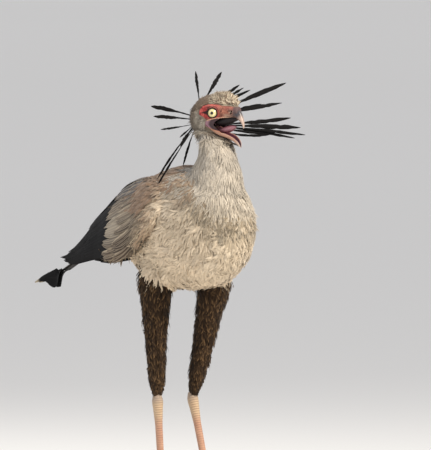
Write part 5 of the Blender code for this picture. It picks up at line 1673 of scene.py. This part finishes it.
# Painted shade: the skin darkens to near black towards its front edge and on its inner side.
lilac = gape_sheet.layers(
    (128, 86, 100), (grain, (176, 136, 148)),
    (gape_sheet.step(gape_sheet.attribute("front"), 0.25, 0.62) * 0.95, (40, 16, 22)),
    (gape_sheet.step(gape_sheet.attribute("lower"), 0.86, 0.97), (206, 142, 112)),
    (gape_sheet.attribute("inner"), (26, 10, 14)))
gape_sheet.finish(lilac, grain, 0.2, 0.28, 0.0004)
for side in (1, -1):
    outer_skin, inner_skin = gape_grid(side, 0.0), gape_grid(side, GAPE_WALL)
    rows, columns = outer_skin.shape[:2]
    across_it = np.concatenate([np.linspace(0, 1, columns), np.linspace(1, 0, columns)])
    gape = write_mesh(
        "gape_" + WORDS[side], np.concatenate([outer_skin, inner_skin[:, ::-1]], axis=1), wall_faces(rows, columns),
        numbers={"inner": np.repeat([0.0, 1.0], columns), "front": lengthwise(rows), "lower": across_it})
    dress(gape, gape_sheet, "mouth", "head")

PALATE_FOLD = [
    (0.024, -0.016, 0.004, 0.002), (0.034, -0.016, 0.013, 0.0085), (0.05, -0.0142, 0.0135, 0.0105),
    (0.068, -0.0118, 0.011, 0.0092), (0.084, -0.009, 0.0075, 0.0058), (0.097, -0.0085, 0.002, 0.0015)]
FOLD_ROWS, FOLD_SIDES = 40, 36
fold_rings, _ = bill_ovals(PALATE_FOLD, FOLD_ROWS, FOLD_SIDES)
fold_rings = fold_rings + UPWARDS * (0.0004 * np.sin(lengthwise(FOLD_ROWS) * 90.0))[..., None]
palate_fold = write_rings("palate_fold", fold_rings)
palate_sheet = Sheet("palate_finish", roughness=0.4, specular=0.35)
grain = palate_sheet.noise(500.0, 4.0)
# Painted shade: the palate fold is painted near black.
palate_sheet.finish(palate_sheet.mix(grain, (9, 5, 6), (26, 13, 16)), grain, 0.2, 0.5, 0.0003)
dress(palate_fold, palate_sheet, "mouth", "head")

# %% [markdown]
# The crest is a fan of long feathers from the nape. Each has a bare-looking narrow stalk and widens in
# its outer half to a ragged vane. Every row below is one feather as the photograph shows it.

# %% Crest
CREST_LEFT_SIDE = [
    (58, 23.2, 0.222, 0.013, -0.014, 0.006), (58, 16, 0.146, 0.01, -0.017, 0.004),
    (58, 11, 0.197, 0.0105, -0.012, 0.004), (58, 4, 0.217, 0.0115, -0.026, -0.008),
    (58, -1, 0.241, 0.0135, -0.03, 0.0), (58, -5, 0.254, 0.009, -0.03, 0.002),
    (58, -7, 0.228, 0.0085, -0.032, 0.006), (58, -3, 0.16, 0.0075, -0.04, -0.006),
    (58, -2, 0.165, 0.0075, -0.044, -0.024), (83, 21, 0.16, 0.008, -0.002, 0.004),
    (83, 25, 0.14, 0.008, 0.002, 0.0), (83, 29, 0.129, 0.009, 0.006, 0.0)]
CREST_RIGHT_SIDE = [
    (-102, 12, 0.137, 0.012, -0.005, 0.004), (-102, 5, 0.126, 0.011, -0.012, 0.002),
    (-102, -6, 0.104, 0.006, -0.022, -0.002), (-102, -28, 0.05, 0.005, -0.03, 0.002),
    (-118, -52, 0.058, 0.01, -0.03, 0.006)]
CREST_TOP = [(83, 57, 0.101, 0.0115, 0.016, 0.002), (173, 69, 0.093, 0.0085, 0.016, -0.002)]
CREST_HANGING = [
    (-152, -51, 0.157, 0.006, -0.034, 0.016), (-146, -54, 0.17, 0.006, -0.038, 0.01),
    (-170, -66, 0.098, 0.0065, -0.034, 0.014)]
CREST_SPREAD = (0.0, 0.2, 0.4, 0.55, 0.66, 0.86, 0.95, 1.0), (0.2, 0.26, 0.38, 0.78, 0.98, 0.92, 0.55, 0.08)
CREST_LAYER = 0.0026
CREST_LOWEST_ROOT = -0.024
CREST_FACE = head_direction(0.62, -0.78, 0.0)


def crest_vanes(name, seed):
    """All crest feathers: a straight line from root to tip, bowed by bow * 2 * s * (1 - s)."""
    rng = np.random.default_rng(seed)
    groups = [(1.0, CREST_LEFT_SIDE), (-1.0, CREST_RIGHT_SIDE), (0.85, CREST_TOP), (-0.4, CREST_HANGING)]
    nape = np.concatenate([np.full(len(rows), place) for place, rows in groups])
    layer = np.concatenate([np.arange(len(rows)) % 3 - 1 for _, rows in groups])[:, None] * CREST_LAYER
    bearing, rise, length, width, root_up, bow = np.vstack([rows for _, rows in groups]).T
    bearing, rise = np.radians(bearing)[:, None], np.radians(rise)[:, None]
    direction = (
        np.cos(bearing) * np.cos(rise) * AHEAD + np.sin(bearing) * np.cos(rise) * BESIDE + np.sin(rise) * UPWARDS)
    shift = layer * CREST_FACE
    root = head_points(-0.029, nape * 0.011, np.maximum(root_up, CREST_LOWEST_ROOT)) + shift
    tip = head_points(-0.022, nape * 0.024, root_up) + direction * length[:, None] + shift
    s = np.linspace(0.0, 1.0, 26)
    path = root[:, None] + (tip - root)[:, None] * s[:, None] + UPWARDS * (bow[:, None] * 2 * s * (1 - s))[..., None]
    spread = np.interp(s, *CREST_SPREAD)
    widths = np.maximum(width[:, None] * spread * rng.uniform(0.92, 1.08, len(s)), 0.0012)
    notch = 1.0 - 0.34 * rng.random((len(width), len(s), len(VANE[0]))) ** 2 * (s > 0.3)[:, None]
    points = vane_points(
        path, CREST_FACE, widths, np.linspace(0.0008, 0.0003, len(s)), VANE, camber=0.05, ragged=notch)
    return write_vanes(name, points, row_map(len(width)), {"tone": rng.random(len(width))})


crest = crest_vanes("crest_feathers", 80)
dress(crest, dark_sheet, "dark_feather", "head")

# %% [markdown]
# The head's own feathers are the smallest. They start at the edge of the bare face and lie back over the crown and
# the cheek. On the forehead they stand up in a shaggy tuft of pale and dark strands, and under the chin they hang
# over the throat, painted darker there as shade.

# %% Head feathers
head_surface = surface_of(head_skin)
JAW_BAND = 0.0088


def keep_head(points, normals):
    """The feathered part of the head, outside the face and the mouth."""
    ahead, aside, above = head_places(points)
    palate, ground = mouth_lines(ahead)
    gap = (ahead > 0.012) & (above > ground - JAW_BAND) & (above < palate + 0.004)
    return (bare_mask(ahead, aside, above) < 0.5) & ~gap & (above > -0.075)


head_roots, head_facing = scatter(head_surface, 0.00185, keep_head, seed=6)
ahead, aside, above = head_places(head_roots)
head_waver = waver(head_roots, 0.011, 15)
tuft = ramp(0.022, 0.052, ahead) * ramp(0.014, 0.026, above)
nape = ramp(0.0, -0.03, ahead)
chin = ramp(-0.034, -0.044, above) * ramp(0.0, 0.02, ahead)
cheek = ramp(0.004, -0.006, above) * (1 - chin)
lie_back = stacked(
    -1.0 + 0.9 * nape + 0.45 * tuft, 0.3 * tuft * np.sign(aside),
    -0.25 - 0.75 * ramp(0.012, -0.02, above) - 0.8 * nape + 1.1 * tuft - 0.7 * chin)
lie_back = lie_back + head_waver * (0.3 + 0.22 * tuft)[:, None]
head_lies = lie_back[:, :1] * AHEAD + lie_back[:, 1:2] * BESIDE + lie_back[:, 2:] * UPWARDS
face_gap = np.abs(above - line_at(BARE_TOP, ahead)) * (ahead > 0.0) + 0.02 * (ahead <= 0.0)
head_length = (0.0062 + 0.0066 * ramp(0.0, 0.014, face_gap) + 0.0068 * tuft + 0.006 * nape + 0.003 * (cheek + chin))
head_map = round_map(ahead, -0.04, 0.1, aside, above)
rng = np.random.default_rng(16)
pale_strand = tuft * (rng.random(len(ahead)) < 0.62)
crown = np.clip(ramp(0.0, 0.016, above) + 0.6 * nape, 0.0, 1.0) * (1 - pale_strand)
head_coat = grow(
    "coat_head", head_roots, head_facing, head_lies, head_length, 0.0022 - 0.0006 * tuft,
    HEAD_COAT + 0.0032 * tuft + 0.0008 * nape + 0.0011 + 0.0014 * head_waver[:, 1], 90, head_map,
    {"tone": clumped(head_roots, 0.006, 25, 0.7), "crown": crown, "chin": chin * 0.8, "tuft": pale_strand},
    (0.0, 0.4, 0.75, 1.0), (0.6, 1.0, 0.8, 0.1), thickness=0.0004, sway=0.3, curl=0.05)
# The chin colour is painted shade on the feathers that hang under the chin.
head_feather_sheet = feather_sheet(
    "head_feather_finish", (78, 70, 61), (206, 195, 178), (200, 188, 170), (204, 192, 174), (74, 66, 57),
    shaft_share=0.3, edge_share=0.2,
    masks=[("crown", (124, 104, 86)), ("tuft", (206, 190, 166)), ("chin", (92, 80, 68))])
dress(head_coat, head_feather_sheet, "pale_feather", "head")

# %% [markdown]
# Stiff black lashes stand on the upper lid, as on few other birds, and a few cream bristles lie over
# the nostril. Both are tapered slivers with three points in a section.

# %% Lashes
def slivers(root, direction, bend, length, width, looks):
    """Tapered slivers: root + direction * length s + bend * length s^2."""
    s = np.linspace(0.0, 1.0, 6)
    path = root[:, None] + direction[:, None] * (length * s)[..., None] + bend[:, None] * (length * s ** 2)[..., None]
    widths = width * (1.0 - 0.8 * s)
    return vane_points(path, looks, widths, widths * 0.5, TENT)


def write_slivers(name, strands, sheet, slot):
    """A mesh of slivers on the head."""
    vanes = write_vanes(name, strands, row_map(len(strands)), {"tone": np.linspace(0, 1, len(strands))})
    dress(vanes, sheet, slot, "head")


LASHES, BRISTLES = 26, 14
for side in (1, -1):
    rng = np.random.default_rng(95)
    centre, look, front, above_eye = eye_frame(side)
    turn = np.linspace(math.radians(35.0), math.radians(172.0), LASHES)[:, None]
    outward = front * np.cos(turn) + above_eye * np.sin(turn)
    length = (0.005 + 0.0034 * (turn / math.pi)) * rng.uniform(0.85, 1.15, (LASHES, 1))
    lashes = slivers(
        centre + look * (LID_LEVEL + 0.0016) + outward * (LID_RING - 0.0008),
        unit(outward * 0.55 + look * 0.75 - front * 0.45), outward * 0.35, length, 0.00055, look)
    write_slivers("lashes_" + WORDS[side], lashes, dark_sheet, "dark_feather")
    forward = NOSTRIL[0] + rng.uniform(-0.01, 0.004, BRISTLES)
    up = NOSTRIL[2] + rng.uniform(-0.004, 0.006, BRISTLES)
    root = head_points(forward, side * (skull_width(forward, up) - 0.0006), up)
    lean = unit(SLIT_WAY + side * BESIDE * 0.35 + rng.normal(0.0, 0.16, (BRISTLES, 3)))
    length = rng.uniform(0.0045, 0.008, (BRISTLES, 1))
    bristles = slivers(root, lean, AHEAD * 0.2 + 0 * lean, length, 0.0006, side * BESIDE)
    write_slivers("bristles_" + WORDS[side], bristles, neck_sheet, "pale_feather")

# %% [markdown]
# The lower leg is bare and scaled. Broad scutes cross its front like a ladder, and small round scales
# cover its sides and back. The scutes are in the surface itself: a saw-tooth in the ring's size, only
# on the front half. Near the ankle they are cream and strong, lower down they fade into smooth pink.

# %% Lower legs
TARSUS_STATIONS = [
    (-0.05, 0.0085, 0.0095), (0.0, 0.012, 0.0145), (0.07, 0.011, 0.0125), (0.2, 0.0082, 0.0098),
    (0.8, 0.0075, 0.0086), (0.94, 0.0098, 0.01), (1.0, 0.0098, 0.0096)]
TOE_JOINT_HEIGHT = 0.032
SCUTE_LENGTH = 0.0062
TARSUS_ROWS, TARSUS_SIDES = 420, 48


def groove_at(run, width):
    """1 where the run is a whole number, falling off as exp(-(distance / width)^2)."""
    return np.exp(-(((run + 0.5) % 1.0 - 0.5) / width) ** 2)


def tarsus_rings(side):
    """Ovals down the shank with scutes: radius + step * front * (1 - fraction of the scute passed)."""
    ankle, foot = LEGS[side][1:]
    foot = foot + UPWARDS * TOE_JOINT_HEIGHT
    share = np.linspace(-0.05, 1.0, TARSUS_ROWS)
    _, half_width, half_depth = rows_at(TARSUS_STATIONS, share).T
    path = ankle + (foot - ankle) * share[:, None]
    rings = tube_rings(path, half_width, half_depth, TARSUS_SIDES, level=(0, 1, 0))
    out = unit(rings - path[:, None])
    front = ramp(0.05, 0.45, -out[..., 1])
    run = share * np.linalg.norm(foot - ankle) / SCUTE_LENGTH
    strong = 0.00075 - 0.0004 * ramp(0.12, 0.3, share)
    wave = (((1.0 - (run % 1.0)) ** 2 - groove_at(run, 0.09)) * strong)[:, None] * front
    return rings + out * wave[..., None], share[:, None], front


leg_sheet = Sheet("leg_skin_finish", roughness=0.55, specular=0.35)
leg_share, leg_front = leg_sheet.attribute("share"), leg_sheet.attribute("front")
cells = leg_sheet.scales(420.0)
patchy = leg_sheet.noise(60.0, 4.0)
leg_colour = leg_sheet.layers(
    leg_sheet.mix(patchy, (182, 152, 120), (208, 184, 150)),
    (leg_sheet.step(leg_share, 0.1, 0.22), leg_sheet.mix(patchy, (166, 120, 98), (204, 162, 132))),
    (leg_sheet.fade(cells, 0.02, 0.14) * (1 - leg_front) * 0.5, (120, 84, 72)),
    (leg_sheet.attribute("groove") * 0.75, (112, 70, 62)),
    (leg_sheet.fade(leg_share, -0.02, 0.05) * 0.5, (132, 122, 118)))
leg_sheet.set(Base_Color=leg_colour, Roughness=patchy * 0.25 + 0.42)
leg_sheet.bump(leg_sheet.step(cells, 0.0, 0.2) * (1 - leg_front * 0.7), 0.00035, 0.8)

for side in (1, -1):
    rings, share, front = tarsus_rings(side)
    run = share * np.linalg.norm(LEGS[side][2] - LEGS[side][1]) / SCUTE_LENGTH
    dark_line = groove_at(run, 0.13) * front * (1 - 0.6 * ramp(0.2, 0.4, share))
    shank = write_rings("shank_" + WORDS[side], rings, {"share": share, "front": front, "groove": dark_line})
    dress(shank, leg_sheet, "leg_skin", "tarsus_" + WORDS[side])

# %% [markdown]
# The toes are short and thick for such a long leg, because the bird walks all day. Each is a tube that
# is flat below, where it rests on the floor, with scutes over its top and a blunt claw at its end.

# %% Feet
TOES = {"inner": (-27.0, 0.052), "middle": (2.0, 0.064), "outer": (30.0, 0.05), "hind": (176.0, 0.03)}
TOE_STATIONS = [(0.0, 0.0098), (0.35, 0.008), (0.72, 0.0072), (1.0, 0.005)]
SOLE_RISE = 0.86
CLAW_LENGTH, CLAW_RADIUS = 0.017, 0.0036
TOE_ROWS, TOE_SIDES = 150, 40


def toe_way(side, turn):
    """The foot's place on the floor, and the heading of a toe at an angle from straight ahead."""
    angle = math.radians(side * turn)
    return LEGS[side][2], np.array([math.sin(angle), -math.cos(angle), 0.0])


def toe_rings(side, turn, length):
    """Ovals along a toe, with pads below and scutes above, cut flat at the floor."""
    foot, heading = toe_way(side, turn)
    share = np.linspace(0.0, 1.0, TOE_ROWS)
    radius = rows_at(TOE_STATIONS, share)[:, 1]
    height = radius * SOLE_RISE + 0.004 * (1.0 - share) ** 3
    path = foot + heading * (length * share + 0.004)[:, None] + height[:, None] * UPWARDS
    round_end = np.sqrt(np.clip(1.0 - ((share - 0.93) / 0.08).clip(0, 1) ** 2, 0.03, 1.0))
    rings = tube_rings(path, radius * round_end, radius * round_end, TOE_SIDES)
    out = unit(rings - path[:, None])
    run = share * length / (SCUTE_LENGTH * 0.62)
    tooth = (1.0 - (run % 1.0)) ** 2
    top = ramp(0.25, 0.6, out[..., 2])
    pads = 0.0006 * np.sin(2 * np.pi * share * 3.0)[:, None] * ramp(0.1, -0.5, out[..., 2])
    rings = rings + out * (tooth[:, None] * 0.0006 * top + pads)[..., None]
    rings[..., 2] = np.maximum(rings[..., 2], 0.0)
    return rings


def foot_ball(side):
    """The round base of the foot, where the toes meet the shank."""
    heights = np.linspace(0.0, TOE_JOINT_HEIGHT + 0.002, 26)
    half = np.interp(heights, (0.0, 0.008, 0.02, 0.034), (0.0098, 0.0112, 0.0118, 0.0102))
    path = LEGS[side][2] + heights[:, None] * UPWARDS
    return oval_rings(path, (1, 0, 0), (0, 1, 0), half, half * 1.03, 44)


foot_sheet = Sheet("foot_finish", roughness=0.6, specular=0.3)
cells = foot_sheet.scales(360.0)
patchy = foot_sheet.noise(70.0, 4.0)
foot_colour = foot_sheet.layers(
    (176, 128, 110), (patchy, (206, 164, 140)), (foot_sheet.fade(cells, 0.02, 0.15) * 0.5, (112, 82, 72)))
foot_sheet.set(Base_Color=foot_colour, Roughness=patchy * 0.2 + 0.5)
foot_sheet.bump(foot_sheet.step(cells, 0.0, 0.2), 0.0004, 0.8)
claw_sheet = Sheet("claw_finish", roughness=0.35, specular=0.45)
claw_grain = claw_sheet.noise(300.0, 4.0)
claw_sheet.set(Base_Color=claw_sheet.mix(claw_grain, (34, 30, 30), (74, 66, 62)), Roughness=claw_grain * 0.25 + 0.25)
CLAW_STATIONS = [(-0.2, 0.0002, 1.0), (0.35, 0.0022, 0.88), (0.75, 0.0012, 0.55), (1.0, -0.0016, 0.12)]


def claw_rings(side, turn, length):
    """A claw that arches forward from the toe's end and comes down to its point."""
    foot, heading = toe_way(side, turn)
    tip = foot + heading * (length + 0.004) + UPWARDS * TOE_STATIONS[-1][1] * SOLE_RISE
    rows = even_rows(CLAW_STATIONS, 36)
    path = tip + heading * (CLAW_LENGTH * rows[:, :1]) + UPWARDS * rows[:, 1:2]
    rings = tube_rings(path, CLAW_RADIUS * rows[:, 2] * 0.8, CLAW_RADIUS * rows[:, 2], 24)
    rings[..., 2] = np.maximum(rings[..., 2], 0.0002)
    return rings


for side in (1, -1):
    word = WORDS[side]
    foot = join_rings("toes_" + word, [foot_ball(side)] + [toe_rings(side, *row) for row in TOES.values()])
    dress(foot, foot_sheet, "leg_skin", "foot_" + word)
    for label, row in TOES.items():
        claw = write_rings("nail_" + word + "_" + label, claw_rings(side, *row))
        dress(claw, claw_sheet, "claw", "claw_" + word + "_" + label)
